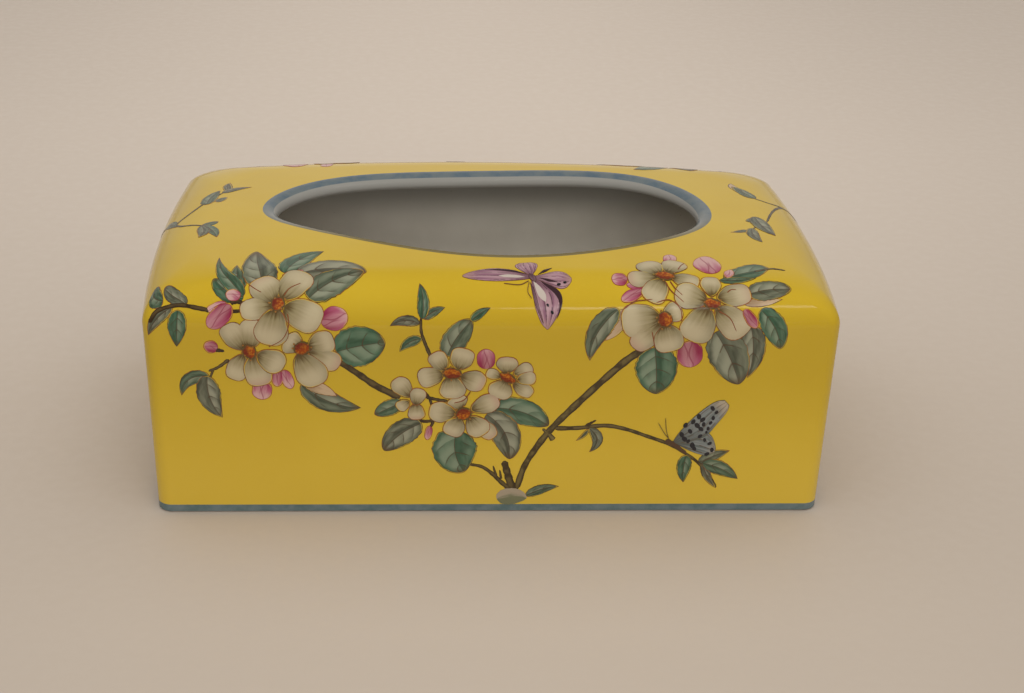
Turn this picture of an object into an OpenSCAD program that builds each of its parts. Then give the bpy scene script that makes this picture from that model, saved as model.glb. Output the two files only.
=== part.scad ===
// Tissue box cover in painted porcelain: a box open below, with an oval mouth in its roof.
// One casting carries a white glaze inside, a yellow enamel ground outside, two blue bands
// and sprays of blossom in raised enamel. It stands on its bare foot over a carton of tissues.
// Millimetres, +X along the length, +Y to the back, +Z up.
// The origin is the middle of the footprint, on the plane that the foot rests on.

/* [Body] */
// Length of the body between its upright corners
body_l = 254; // [200:2:300]
// Depth of the body from front to back
body_w = 144; // [120:2:180]
// Height of the roof's four corners above the foot
body_h = 91.6; // [70:0.2:120]
// Thickness of the whole wall, coats included
wall_t = 5.5; // [4.8:0.1:7]
// Thickness of the glaze and of the enamel coats
coat_t = 0.4; // [0.2:0.05:0.8]
// Outward bow at the middle of each end wall
end_bow = 4; // [0:0.1:8]
// Draw of the foot inside the top of the wall, on each side
foot_draw = 1.3; // [0:0.1:3]
// Radius of the upright corners
corner_r = 4.5; // [3:0.1:10]
// Gain of the corner radius for each unit that an outline lies further in
corner_gain_share = 0.6; // [0.2:0.05:0.8]

/* [Roof] */
// Height of the rounded top edge
edge_rise = 14; // [9:0.5:18]
// Depth of the rounded top edge, from the wall to the flat of the roof
edge_run = 21.5; // [14:0.5:24]
// Arch of the front top edge at its middle, below zero where it dips
front_arch = -1; // [-3:0.2:5]
// Arch of the back top edge at its middle
back_arch = 4.8; // [0:0.2:7]
// Pillow of the roof between its four edges
pillow = 2.8; // [0:0.2:6]

/* [Mouth] */
// Length of the mouth, measured outside its blue line
mouth_l = 179; // [130:1:190]
// Depth of the mouth's plain oval
mouth_w = 89.2; // [60:0.4:92]
// Shift of the oval to the back
mouth_back = 5.4; // [0:0.2:7]
// Extra depth of the mouth on its right side
mouth_lean = 3.2; // [0:0.2:6]
// Squareness of the mouth's long sides
mouth_square = 1.2; // [0:0.1:3]
// Dip of the middle of both long sides to the front
mouth_dip = 2.8; // [0:0.2:4]
// Second, shorter wave of the same dip
mouth_wave = 2.2; // [0:0.2:3]
// Depth of the rolled lip, from the blue line's edge to the opening
lip_run = 6; // [4:0.2:8]
// Drop of the rolled lip
lip_drop = 4; // [2.5:0.1:4.6]
// Radius under the lip
under_r = 1.1; // [0.5:0.1:1.4]

/* [Bands] */
// Angle of the lip's roll that the blue line covers
band_angle = 32; // [25:1:60]
// Height of the blue line's lower edge above the foot
foot_bare = 0.9; // [0.8:0.1:2]
// Height of the blue line at the foot
foot_band_h = 1.9; // [1:0.1:6]
// Height of the bare ring that the white lining leaves inside the foot
lining_bare = 4; // [2:0.5:10]
// Rounding of the bare foot
foot_r = 0.8; // [0.3:0.1:0.8]

/* [Painting] */
// Height of the raised enamel at the middle of a leaf or petal
relief = 0.6; // [0.3:0.05:1]
// Height of the raised enamel at a blossom's heart
heart_relief = 1; // [0.6:0.1:1.6]
// Clearance under the raised enamel
bed_gap = 0.1; // [0:0.05:0.3]

/* [Hidden] */

half_l = body_l / 2;
half_w = body_w / 2;
wall_h = body_h - edge_rise;

// Curve of the mouth: an oval with small hand-cut departures
function mouth_curve(turn) = [
    mouth_l / 2 * cos(turn),
    mouth_back + mouth_w / 2 * sin(turn) + mouth_lean * sin(2 * turn) + mouth_square * sin(3 * turn)
        + mouth_dip * cos(2 * turn) - mouth_wave * cos(4 * turn)
];

// The rounded top edge is as deep as the rim between wall and mouth leaves room for
rim_gap_share = 0.2;
mouth_reach = max([for (turn = [0 : 5 : 355]) abs(mouth_curve(turn).y)]);
edge_room = min(half_w - mouth_reach, half_l - mouth_l / 2) - lip_run * rim_gap_share;
edge_depth = min(edge_run, edge_room);

// Steps of a quarter of every outline: end wall, upright corner and long wall
end_steps = 3;
corner_steps = 4;
side_steps = 7;
quarter = end_steps + corner_steps + side_steps;
around = 4 * quarter;
edge_steps = 5;
roof_steps = 3;
inner_edge_steps = 3;
inner_roof_steps = 2;
lip_angles = [0, band_angle / 2, band_angle, (band_angle + 90) / 2, 90];
under_angles = [45, 90];

// Length of the rounded edge's quarter of an ellipse, by the usual close formula
edge_ratio = pow((edge_rise - edge_depth) / (edge_rise + edge_depth), 2);
edge_len = PI / 4 * (edge_rise + edge_depth) * (1 + 3 * edge_ratio / (10 + sqrt(4 - 3 * edge_ratio)));
// Distance over the skin from the foot up the wall and over the edge to the flat of the roof
skin_h = wall_h + edge_len;
// Lead that evens out the spacing of points along the ellipse
lead_share = 0.21;

// Profile of the skin, by the distance up from the foot
function edge_part(up) = min(max((up - wall_h) / edge_len, 0), 1);
function edge_angle(up) = let (part = edge_part(up)) 90 * (part + lead_share * part * (1 - part));
function wall_part(up) = min(max(up / wall_h, 0), 1);
function past_edge(up) = max(up - skin_h, 0);
function inset(up) =
    foot_draw * (1 - wall_part(up)) + edge_depth * (1 - cos(edge_angle(up))) + past_edge(up);
function rise(up) = wall_h * wall_part(up) + edge_rise * sin(edge_angle(up));
function tilt(up) = atan2(sin(edge_angle(up)) / edge_rise, cos(edge_angle(up)) / edge_depth);

// Height that the arched and pillowed roof adds over its corners
function crown(x, y) =
    let (
        along = max(1 - pow(x / half_l, 2), 0),
        back_part = y / body_w + 1 / 2,
        across = 1 - pow(y / half_w, 2)
    )
    along * (front_arch + (back_arch - front_arch) * back_part + pillow * across);

function outline_r(inward) = corner_r + corner_gain_share * inward;
function bowed(x, y, inward) =
    x + end_bow * x / (half_l - inward) * (1 - pow(min(abs(y) / (half_w - inward), 1), 2));

// Point of the first quarter of the outline that lies inward of the walls by the given distance
function quarter_point(step, inward) =
    let (
        r = outline_r(inward),
        x_in = half_l - inward - r,
        y_in = half_w - inward - r,
        turn = 90 * (step - end_steps) / corner_steps
    )
    step < end_steps ? [x_in + r, y_in * step / end_steps]
    : step <= end_steps + corner_steps ? [x_in + r * cos(turn), y_in + r * sin(turn)]
    : [x_in * (quarter - step) / side_steps, y_in + r];

// Signs of the four quarters, counted from the right end by way of the back
quarter_signs = [[1, 1], [-1, 1], [-1, -1], [1, -1]];
function outline_point(index, inward) =
    let (
        part = floor(index / quarter),
        step = index % quarter,
        first = quarter_point(part % 2 == 0 ? step : quarter - step, inward),
        x = first.x * quarter_signs[part].x,
        y = first.y * quarter_signs[part].y
    )
    [bowed(x, y, inward), y];

// The mouth's curve moved inward along its own normal
function mouth_point(index, inward) =
    let (
        turn = 360 * index / around,
        here = mouth_curve(turn),
        ahead = mouth_curve(turn + 1),
        behind = mouth_curve(turn - 1),
        run = norm(ahead - behind)
    )
    here + inward / run * [behind.y - ahead.y, ahead.x - behind.x];

// Rings of the skin: over wall and edge, over the roof to the mouth, and over the lip
function lifted(xy, height) = [xy.x, xy.y, height];
function skin_ring(up, lift) = [
    for (index = [0 : around - 1])
        let (xy = outline_point(index, inset(up) - lift * cos(tilt(up))))
        lifted(xy, rise(up) + lift * sin(tilt(up)) + wall_part(up) * crown(xy.x, xy.y))
];
function roof_ring(part, lift) = [
    for (index = [0 : around - 1])
        let (xy = outline_point(index, inset(skin_h)) * (1 - part) + mouth_point(index, 0) * part)
        lifted(xy, body_h + lift + crown(xy.x, xy.y))
];
function lip_ring(angle, lift) = [
    for (index = [0 : around - 1])
        let (xy = mouth_point(index, (lip_run + lift) * sin(angle)))
        lifted(xy, body_h + lift - (lip_drop + lift) * (1 - cos(angle)) + crown(xy.x, xy.y))
];
function under_ring(angle, lift) = [
    for (index = [0 : around - 1])
        let (
            xy = mouth_point(index, lip_run + lift - (under_r + lift) * (1 - cos(angle))),
            fall = lip_drop + (wall_t - lip_drop) * angle / 90 + lift * sin(angle)
        )
        lifted(xy, body_h - fall + crown(xy.x, xy.y))
];

function edge_ups(steps) = [for (step = [1 : steps]) wall_h + edge_len * step / steps];
function reversed(list) = [for (index = [len(list) - 1 : -1 : 0]) list[index]];

// Outer rings from the foot to the mouth's line, and inner rings from the mouth to the foot
function outer_rings(low, lift) = concat(
    [skin_ring(low, lift), skin_ring(wall_h, lift)],
    [for (up = edge_ups(edge_steps)) skin_ring(up, lift)],
    [for (step = [1 : roof_steps]) roof_ring(step / roof_steps, lift)]
);
function inner_rings(low, lift) = concat(
    [for (step = [inner_roof_steps - 1 : -1 : 1]) roof_ring(step / inner_roof_steps, lift)],
    [for (up = reversed(edge_ups(inner_edge_steps))) skin_ring(up, lift)],
    [skin_ring(wall_h, lift), skin_ring(low, lift)]
);

// Closed sleeve over a cycle of rings of equal count, outer rings upward and inner ones downward
module sleeve(rings) {
    count = len(rings);
    points = [for (ring = rings) each ring];
    faces = [
        for (ring = [0 : count - 1], index = [0 : around - 1])
            let (
                next_ring = (ring + 1) % count,
                next = (index + 1) % around,
                a = ring * around + index,
                b = ring * around + next,
                c = next_ring * around + next,
                d = next_ring * around + index
            )
            each [[a, c, b], [a, d, c]]
    ];
    polyhedron(points, faces, convexity = 10);
}

// Casting: inside the yellow ground, the bands and the white lining, and bare at its foot
module porcelain_body() {
    rings = concat(
        [skin_ring(0, -coat_t - foot_r)],
        outer_rings(foot_r, -coat_t),
        [for (angle = lip_angles) if (angle > 0) lip_ring(angle, -coat_t)],
        [for (angle = under_angles) under_ring(angle, -coat_t)],
        inner_rings(foot_r, coat_t - wall_t),
        [skin_ring(0, coat_t + foot_r - wall_t)]
    );
    color("ivory") sleeve(rings);
}

// White glaze: over the lower roll of the lip, under the roof and down the inside of the walls
module white_lining() {
    glazed = [for (angle = lip_angles) if (angle >= band_angle) angle];
    face = concat(
        [for (angle = glazed) lip_ring(angle, 0)],
        [for (angle = under_angles) under_ring(angle, 0)],
        inner_rings(lining_bare, -wall_t)
    );
    bed = concat(
        [for (angle = glazed) lip_ring(angle, -coat_t)],
        [for (angle = under_angles) under_ring(angle, -coat_t)],
        inner_rings(lining_bare, coat_t - wall_t)
    );
    color("gainsboro") sleeve(concat(face, reversed(bed)));
}

// Yellow enamel ground: from the blue line at the foot up to the blue line of the mouth
module yellow_ground() {
    low = foot_bare + foot_band_h;
    color("gold") sleeve(concat(outer_rings(low, 0), reversed(outer_rings(low, -coat_t))));
}

// Blue line on the upper roll of the lip
module mouth_band() {
    painted = [for (angle = lip_angles) if (angle <= band_angle) angle];
    face = [for (angle = painted) lip_ring(angle, 0)];
    bed = [for (angle = painted) lip_ring(angle, -coat_t)];
    color("steelblue") sleeve(concat(face, reversed(bed)));
}

// Blue line round the foot
module foot_band() {
    ups = [foot_bare, foot_bare + foot_band_h];
    face = [for (up = ups) skin_ring(up, 0)];
    bed = [for (up = ups) skin_ring(up, -coat_t)];
    color("steelblue") sleeve(concat(face, reversed(bed)));
}

// Walls that a motif can lie on, each by the angle that it faces
front_angle = -90;
right_end_angle = 0;
back_angle = 90;
left_end_angle = 180;
function is_long(wall_angle) = wall_angle % 180 != 0;

// Place on the skin of a wall: across from its middle, up from the foot, and lifted off it
function placed(wall_angle, across, up, lift) =
    let (
        out_way = [cos(wall_angle), sin(wall_angle)],
        along_way = [-sin(wall_angle), cos(wall_angle)],
        inward = inset(up),
        r = outline_r(inward),
        reach = (is_long(wall_angle) ? half_l : half_w) - inward - r,
        depth = (is_long(wall_angle) ? half_w : half_l) - inward,
        side = sign(across),
        arc = min(max((abs(across) - reach) / r, 0), PI / 2) * 180 / PI,
        beyond = max(abs(across) - reach - r * PI / 2, 0),
        flat = abs(across) <= reach,
        along = flat ? across : side * (reach + r * sin(arc)),
        out = flat ? depth : depth - r * (1 - cos(arc)) - beyond,
        spot = along_way * along + out_way * out,
        xy = [bowed(spot.x, spot.y, inward), spot.y],
        lift_way = flat ? out_way : along_way * side * sin(arc) + out_way * cos(arc)
    )
    lifted(
        xy + lift_way * lift * cos(tilt(up)),
        rise(up) + lift * sin(tilt(up)) + wall_part(up) * crown(xy.x, xy.y)
    );

// The painting is laid out on a cartoon, one unit high from the foot to the flat of the roof,
// which stretches with the wall that it lies on. Places in the tables are shares: across, of
// half the wall's length, and up, of the height over the skin.
long_cartoon_share = 1.2;
end_cartoon_share = 0.68;
function cartoon_share(wall) = is_long(wall) ? long_cartoon_share : end_cartoon_share;
// The back repeats the front a little lower, so that only its tops show over the roof's far edge
back_low_share = 0.89;
function low_share(wall) = wall == back_angle ? back_low_share : 1;
function wall_reach(wall) = is_long(wall) ? half_l : half_w;
function drawn(wall, spot) = [spot.x * cartoon_share(wall), spot.y];
function laid(wall, mark, lift) =
    placed(wall, mark.x / cartoon_share(wall) * wall_reach(wall), mark.y * low_share(wall) * skin_h, lift);

// Sizes of the motifs in cartoon units
petal_share = 0.142;
bud_share = 0.085;
heart_share = 0.0245;
twig_share = 0.016;
taper_share = 0.55;
petal_width_share = 0.7;
heart_gap_share = 0.06;

// Widest place and bluntness of leaves, petals, buds and wings
leaf_form_shares = [0.9, 0.85];
petal_form_shares = [1.5, 0.55];
bud_form_shares = [0.9, 0.6];
wing_form_shares = [1.9, 0.6];

// Raised stroke along a spine on the cartoon: flat below, ridged above, pointed at both ends.
// Each rung across it has four points, so four faces run from rung to rung.
module stroke(wall, spine, halves) {
    last = len(spine) - 1;
    rungs = [
        for (index = [1 : last - 1])
            let (
                run = spine[index + 1] - spine[index - 1],
                aside = [-run.y, run.x] * halves[index] / norm(run),
                lift = relief * halves[index] / max(halves)
            )
            [
                laid(wall, spine[index] + aside, bed_gap),
                laid(wall, spine[index], bed_gap + lift),
                laid(wall, spine[index] - aside, bed_gap),
                laid(wall, spine[index], bed_gap)
            ]
    ];
    ends = [for (index = [0, last]) laid(wall, spine[index], bed_gap)];
    points = concat([ends[0]], [for (rung = rungs) each rung], [ends[1]]);
    tip = len(points) - 1;
    faces = concat(
        [for (side = [0 : 3]) [0, 1 + side, 1 + (side + 1) % 4]],
        [
            for (rung = [0 : len(rungs) - 2], side = [0 : 3])
                let (
                    a = 1 + 4 * rung + side,
                    b = 1 + 4 * rung + (side + 1) % 4
                )
                each [[a, b + 4, b], [a, a + 4, b + 4]]
        ],
        [for (side = [0 : 3]) [tip, tip - 4 + (side + 1) % 4, tip - 4 + side]]
    );
    polyhedron(points, faces, convexity = 4);
}

// Leaf, petal, bud or wing between two marks, with its width, its sideways bend and its form.
// Long wings follow the rounded edge in more steps.
blade_steps = 5;
wing_steps = 9;
function swell(part, form_shares) = pow(sin(180 * pow(part, form_shares[0])), form_shares[1]);
module blade(wall, base, tip, width, bend, form_shares, steps = blade_steps) {
    run = tip - base;
    aside = [-run.y, run.x] / norm(run);
    parts = [for (step = [0 : steps]) (1 - cos(180 * step / steps)) / 2];
    spine = [for (part = parts) base + run * part + aside * bend * 4 * part * (1 - part)];
    halves = [
        for (step = [0 : steps])
            step == 0 || step == steps ? 0 : width / 2 * swell(parts[step], form_shares)
    ];
    stroke(wall, spine, halves);
}

// Low dome at the heart of a blossom
heart_sides = 8;
module heart(wall, mark, r) {
    rim = [
        for (side = [0 : heart_sides - 1])
            let (turn = 360 * side / heart_sides)
            mark + r * [cos(turn), sin(turn)]
    ];
    points = concat(
        [for (spot = rim) laid(wall, spot, bed_gap)],
        [laid(wall, mark, bed_gap), laid(wall, mark, bed_gap + heart_relief)]
    );
    faces = [
        for (side = [0 : heart_sides - 1])
            let (next = (side + 1) % heart_sides)
            each [[side, next, heart_sides], [next, side, heart_sides + 1]]
    ];
    polyhedron(points, faces, convexity = 2);
}

// Leaves or wings: base, tip, then width and bend as shares of the length
module blades(wall, rows, form_shares, steps = blade_steps) {
    for (row = rows) {
        base = drawn(wall, row[0]);
        tip = drawn(wall, row[1]);
        span = norm(tip - base);
        blade(wall, base, tip, span * row[2], span * row[3], form_shares, steps);
    }
}

module leaves(wall, rows) { blades(wall, rows, leaf_form_shares); }
module wings(wall, rows) { blades(wall, rows, wing_form_shares, wing_steps); }

// Petals: place of the blossom's heart, then a turn and a share of the usual length for each petal
module petals(wall, rows) {
    for (row = rows, petal = row[1]) {
        middle = drawn(wall, row[0]);
        reach = petal_share * petal[1];
        way = [cos(petal[0]), sin(petal[0])];
        base = middle + way * heart_share;
        blade(wall, base, middle + way * reach, reach * petal_width_share, 0, petal_form_shares);
    }
}

// Hearts, from the same rows as the petals, which end with the heart's own share
module hearts(wall, rows) {
    for (row = rows)
        heart(wall, drawn(wall, row[0]), heart_share * row[2] * (1 - heart_gap_share));
}

// Buds: middle, turn, length as a share of the usual one, width as a share of the length
module buds(wall, rows) {
    for (row = rows) {
        middle = drawn(wall, row[0]);
        span = bud_share * row[2];
        way = [cos(row[1]), sin(row[1])] * span / 2;
        blade(wall, middle - way, middle + way, span * row[3], 0, bud_form_shares);
    }
}

// Twigs: a share of the usual thickness, then the places that the twig runs through.
// A rung halfway between two places keeps the twig on the skin where it rounds a corner.
function halfway(marks) = [
    for (index = [0 : len(marks) - 2]) each [marks[index], (marks[index] + marks[index + 1]) / 2],
    marks[len(marks) - 1]
];
module twigs(wall, rows) {
    for (row = rows) {
        spine = halfway([for (spot = row[1]) drawn(wall, spot)]);
        last = len(spine) - 1;
        halves = [for (index = [0 : last]) twig_share / 2 * row[0] * (1 - (1 - taper_share) * index / last)];
        stroke(wall, spine, halves);
    }
}

// Left spray
left_twig_shares = [
    [1.1, [[-0.98, 0.755], [-0.945, 0.795], [-0.895, 0.815], [-0.86, 0.81], [-0.83, 0.805]]],
    [0.7, [[-0.785, 0.575], [-0.797, 0.567], [-0.81, 0.553]]],
    [1.2, [[-0.29, 0.46], [-0.36, 0.535], [-0.425, 0.59]]]
];
left_leaf_shares = [
    [[-0.945, 0.82], [-0.985, 0.88], 0.75, 0.05],
    [[-0.885, 0.83], [-0.935, 0.89], 0.7, -0.05],
    [[-0.95, 0.775], [-0.98, 0.69], 0.5, 0.1],
    [[-0.9, 0.79], [-0.905, 0.655], 0.5, 0],
    [[-0.745, 0.905], [-0.815, 1], 0.6, 0.08],
    [[-0.665, 0.965], [-0.705, 1.08], 0.85, 0],
    [[-0.59, 0.995], [-0.49, 1.11], 0.4, -0.05],
    [[-0.485, 0.955], [-0.37, 0.965], 0.7, 0.12],
    [[-0.425, 0.64], [-0.31, 0.69], 0.85, 0.05],
    [[-0.52, 0.475], [-0.39, 0.415], 0.42, 0.08],
    [[-0.82, 0.57], [-0.905, 0.51], 0.5, -0.1],
    [[-0.815, 0.54], [-0.785, 0.385], 0.5, -0.05]
];
left_blossom_shares = [
    [[-0.615, 0.815], [[135, 1.03], [45, 1.1], [338, 1.15], [262, 0.8], [193, 0.95]], 1],
    [[-0.7, 0.645], [[150, 0.95], [95, 0.55], [350, 0.7], [290, 0.95], [222, 0.8]], 1],
    [[-0.55, 0.66], [[22, 0.85], [325, 1], [265, 0.85]], 0.9]
];
left_bud_shares = [
    [[-0.78, 0.78], 225, 1.05, 0.8],
    [[-0.825, 0.845], 200, 0.4, 0.8],
    [[-0.765, 0.855], 135, 0.6, 0.8],
    [[-0.83, 0.655], 170, 0.45, 0.8],
    [[-0.43, 0.785], 10, 1.1, 0.95],
    [[-0.69, 0.465], 250, 0.8, 0.85],
    [[-0.61, 0.495], 320, 0.55, 0.8]
];

// Middle spray
middle_twig_shares = [
    [1, [[-0.195, 0.665], [-0.207, 0.71], [-0.215, 0.755], [-0.21, 0.8]]],
    [2, [[0.08, 0.09], [0.1, 0.22], [0.165, 0.33], [0.27, 0.475], [0.35, 0.58], [0.395, 0.62]]],
    [1.2, [[0.065, 0.115], [0.055, 0.16], [0.045, 0.205]]],
    [0.9, [[0.05, 0.115], [-0.01, 0.17], [-0.065, 0.2]]]
];
middle_leaf_shares = [
    [[-0.21, 0.815], [-0.215, 0.915], 0.5, 0.06],
    [[-0.195, 0.8], [-0.14, 0.83], 0.5, 0.1],
    [[-0.23, 0.765], [-0.305, 0.75], 0.5, -0.1],
    [[-0.225, 0.71], [-0.28, 0.655], 0.5, 0.1],
    [[-0.135, 0.685], [-0.07, 0.76], 0.6, 0.05],
    [[-0.06, 0.77], [-0.01, 0.815], 0.45, 0],
    [[-0.285, 0.44], [-0.35, 0.41], 0.7, 0],
    [[-0.2, 0.37], [-0.335, 0.28], 0.5, 0.08],
    [[-0.12, 0.3], [-0.1, 0.165], 1, 0],
    [[0.005, 0.4], [0.07, 0.22], 0.7, 0.05],
    [[0.075, 0.415], [0.165, 0.355], 0.7, 0.08],
    [[0.115, 0.075], [0.205, 0.1], 0.42, 0.08],
    [[0.06, 0.075], [0.025, 0.04], 0.9, 0]
];
middle_blossom_shares = [
    [[-0.125, 0.57], [[135, 0.8], [60, 0.8], [337, 0.65], [270, 0.5], [200, 0.75]], 0.8],
    [[0.045, 0.55], [[90, 0.7], [20, 0.8], [310, 0.75], [240, 0.4], [160, 0.55]], 0.8],
    [[-0.085, 0.405], [[173, 0.8], [233, 0.75], [305, 0.75], [27, 0.7], [99, 0.5]], 0.8],
    [[-0.225, 0.475], [[140, 0.6], [20, 0.35], [215, 0.5], [285, 0.55]], 0.6]
];
middle_bud_shares = [
    [[-0.025, 0.64], 80, 0.8, 0.85],
    [[-0.165, 0.325], 260, 0.4, 0.8]
];

// Right spray
right_twig_shares = [
    [1, [[0.195, 0.36], [0.3, 0.36], [0.45, 0.32], [0.535, 0.275], [0.6, 0.225]]]
];
right_leaf_shares = [
    [[0.335, 0.795], [0.27, 0.62], 0.55, 0.08],
    [[0.475, 0.61], [0.475, 0.48], 0.95, 0],
    [[0.635, 0.685], [0.715, 0.515], 0.75, -0.05],
    [[0.78, 0.81], [0.83, 0.655], 0.6, -0.08],
    [[0.69, 0.965], [0.87, 0.975], 0.27, -0.08],
    [[0.755, 0.87], [0.865, 0.87], 0.4, 0.05],
    [[0.29, 0.345], [0.27, 0.27], 0.7, 0.1],
    [[0.575, 0.235], [0.59, 0.155], 0.7, 0],
    [[0.63, 0.205], [0.735, 0.135], 0.55, 0.05],
    [[0.605, 0.175], [0.64, 0.095], 0.5, 0]
];
right_blossom_shares = [
    [[0.495, 0.945], [[130, 0.85], [40, 0.85], [197, 0.85], [262, 0.5]], 0.9],
    [[0.63, 0.825], [[92, 0.95], [30, 0.9], [155, 0.7], [229, 0.95], [305, 0.85]], 1],
    [[0.49, 0.77], [[180, 0.88], [95, 0.45], [345, 0.45], [292, 0.75], [237, 0.9]], 1]
];
right_bud_shares = [
    [[0.53, 1.08], 100, 0.55, 0.8],
    [[0.63, 1.02], 60, 0.9, 0.85],
    [[0.36, 0.945], 170, 0.5, 0.8],
    [[0.355, 0.87], 210, 0.75, 0.85],
    [[0.55, 0.635], 270, 0.75, 0.95],
    [[0.725, 0.785], 290, 0.55, 0.6]
];

butterfly_shares = [
    [[0.1, 0.925], [-0.09, 0.935], 0.35, -0.04],
    [[0.105, 0.935], [0.08, 1.02], 0.9, 0],
    [[0.12, 0.93], [0.215, 0.925], 0.7, 0],
    [[0.115, 0.91], [0.15, 0.735], 0.5, 0.04]
];
moth_shares = [
    [[0.545, 0.3], [0.685, 0.43], 0.7, 0.08],
    [[0.555, 0.285], [0.665, 0.255], 0.65, -0.05]
];

// Sprigs of the two ends, which climb the end wall and come over onto the roof
left_end_twig_shares = [
    [
        1.1,
        [
            [0.06, 0.2], [0.03, 0.4], [-0.02, 0.6], [-0.05, 0.79],
            [-0.06, 0.85], [-0.11, 0.92], [-0.21, 0.965], [-0.34, 1.01]
        ]
    ],
    [0.8, [[-0.035, 0.865], [0.04, 0.91], [0.125, 0.955]]]
];
left_end_leaf_shares = [
    [[-0.22, 1], [-0.32, 1.06], 0.5, 0.05],
    [[-0.4, 1.03], [-0.45, 1.09], 0.5, 0],
    [[-0.095, 0.85], [-0.19, 0.86], 0.5, 0.1],
    [[0.16, 0.96], [0.27, 0.965], 0.5, 0.08],
    [[0.135, 0.985], [0.16, 1.06], 0.6, -0.05],
    [[0.015, 0.62], [0.16, 0.72], 0.5, 0.08],
    [[-0.04, 0.5], [-0.2, 0.58], 0.5, -0.08],
    [[0.08, 0.3], [0.22, 0.38], 0.5, 0.08]
];
right_end_twig_shares = [
    [
        1.1,
        [
            [0.02, 0.2], [0.06, 0.4], [0.14, 0.6], [0.24, 0.79],
            [0.3, 0.87], [0.35, 0.93], [0.43, 1.01]
        ]
    ],
    [0.8, [[0.235, 0.845], [0.15, 0.93], [0.01, 0.98]]]
];
right_end_leaf_shares = [
    [[0.37, 1], [0.4, 1.07], 0.55, 0],
    [[0.46, 1.02], [0.54, 1.06], 0.5, 0],
    [[-0.03, 0.975], [-0.19, 0.94], 0.4, -0.08],
    [[-0.035, 1], [-0.22, 1.1], 0.35, 0.08],
    [[0.02, 1.005], [0.08, 1.1], 0.5, 0],
    [[0.11, 0.61], [-0.04, 0.7], 0.5, -0.08],
    [[0.13, 0.47], [0.28, 0.54], 0.5, 0.08],
    [[0, 0.3], [-0.14, 0.38], 0.5, -0.08]
];
left_end_blossom_shares = [
    [[0.3, 0.55], [[100, 0.8], [28, 0.8], [316, 0.8], [244, 0.8], [172, 0.8]], 0.8]
];
right_end_blossom_shares = [
    [[-0.25, 0.52], [[90, 0.8], [18, 0.8], [306, 0.8], [234, 0.8], [162, 0.8]], 0.8]
];

module left_spray_twigs() { color("saddlebrown") twigs(front_angle, left_twig_shares); }
module left_spray_leaves() { color("darkseagreen") leaves(front_angle, left_leaf_shares); }
module left_spray_petals() { color("linen") petals(front_angle, left_blossom_shares); }
module left_spray_hearts() { color("chocolate") hearts(front_angle, left_blossom_shares); }
module left_spray_buds() { color("palevioletred") buds(front_angle, left_bud_shares); }

module middle_spray_twigs() { color("saddlebrown") twigs(front_angle, middle_twig_shares); }
module middle_spray_leaves() { color("darkseagreen") leaves(front_angle, middle_leaf_shares); }
module middle_spray_petals() { color("linen") petals(front_angle, middle_blossom_shares); }
module middle_spray_hearts() { color("chocolate") hearts(front_angle, middle_blossom_shares); }
module middle_spray_buds() { color("palevioletred") buds(front_angle, middle_bud_shares); }

module right_spray_twigs() { color("saddlebrown") twigs(front_angle, right_twig_shares); }
module right_spray_leaves() { color("darkseagreen") leaves(front_angle, right_leaf_shares); }
module right_spray_petals() { color("linen") petals(front_angle, right_blossom_shares); }
module right_spray_hearts() { color("chocolate") hearts(front_angle, right_blossom_shares); }
module right_spray_buds() { color("palevioletred") buds(front_angle, right_bud_shares); }

module purple_butterfly() { color("plum") wings(front_angle, butterfly_shares); }
module spotted_moth() { color("lightsteelblue") wings(front_angle, moth_shares); }

module left_end_sprig() {
    color("saddlebrown") twigs(left_end_angle, left_end_twig_shares);
    color("darkseagreen") leaves(left_end_angle, left_end_leaf_shares);
}
module right_end_sprig() {
    color("saddlebrown") twigs(right_end_angle, right_end_twig_shares);
    color("darkseagreen") leaves(right_end_angle, right_end_leaf_shares);
}

module end_petals() {
    color("linen") petals(left_end_angle, left_end_blossom_shares);
    color("linen") petals(right_end_angle, right_end_blossom_shares);
}
module end_hearts() {
    color("chocolate") hearts(left_end_angle, left_end_blossom_shares);
    color("chocolate") hearts(right_end_angle, right_end_blossom_shares);
}

// The back repeats the painting of the front
all_blossom_shares = concat(left_blossom_shares, middle_blossom_shares, right_blossom_shares);
all_leaf_shares = concat(left_leaf_shares, middle_leaf_shares, right_leaf_shares);
all_twig_shares = concat(left_twig_shares, middle_twig_shares, right_twig_shares);
all_bud_shares = concat(left_bud_shares, middle_bud_shares, right_bud_shares);
module back_twigs() { color("saddlebrown") twigs(back_angle, all_twig_shares); }
module back_leaves() { color("darkseagreen") leaves(back_angle, all_leaf_shares); }
module back_petals() { color("linen") petals(back_angle, all_blossom_shares); }
module back_hearts() { color("chocolate") hearts(back_angle, all_blossom_shares); }
module back_buds() { color("palevioletred") buds(back_angle, all_bud_shares); }
module back_butterfly() { color("plum") wings(back_angle, butterfly_shares); }
module back_moth() { color("lightsteelblue") wings(back_angle, moth_shares); }

porcelain_body();
white_lining();
yellow_ground();
mouth_band();
foot_band();
left_spray_twigs();
left_spray_leaves();
left_spray_petals();
left_spray_hearts();
left_spray_buds();
middle_spray_twigs();
middle_spray_leaves();
middle_spray_petals();
middle_spray_hearts();
middle_spray_buds();
right_spray_twigs();
right_spray_leaves();
right_spray_petals();
right_spray_hearts();
right_spray_buds();
purple_butterfly();
spotted_moth();
left_end_sprig();
right_end_sprig();
end_petals();
end_hearts();
back_twigs();
back_leaves();
back_petals();
back_hearts();
back_buds();
back_butterfly();
back_moth();
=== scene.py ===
"""Tissue box cover in painted porcelain: the glazed casting, its blue lines and its raised painting.

Shapes are worked out in millimetres on the cover's own skin, and become metres when a mesh is made.
"""
import math

import bpy
import numpy as np
from mathutils import Matrix


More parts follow.
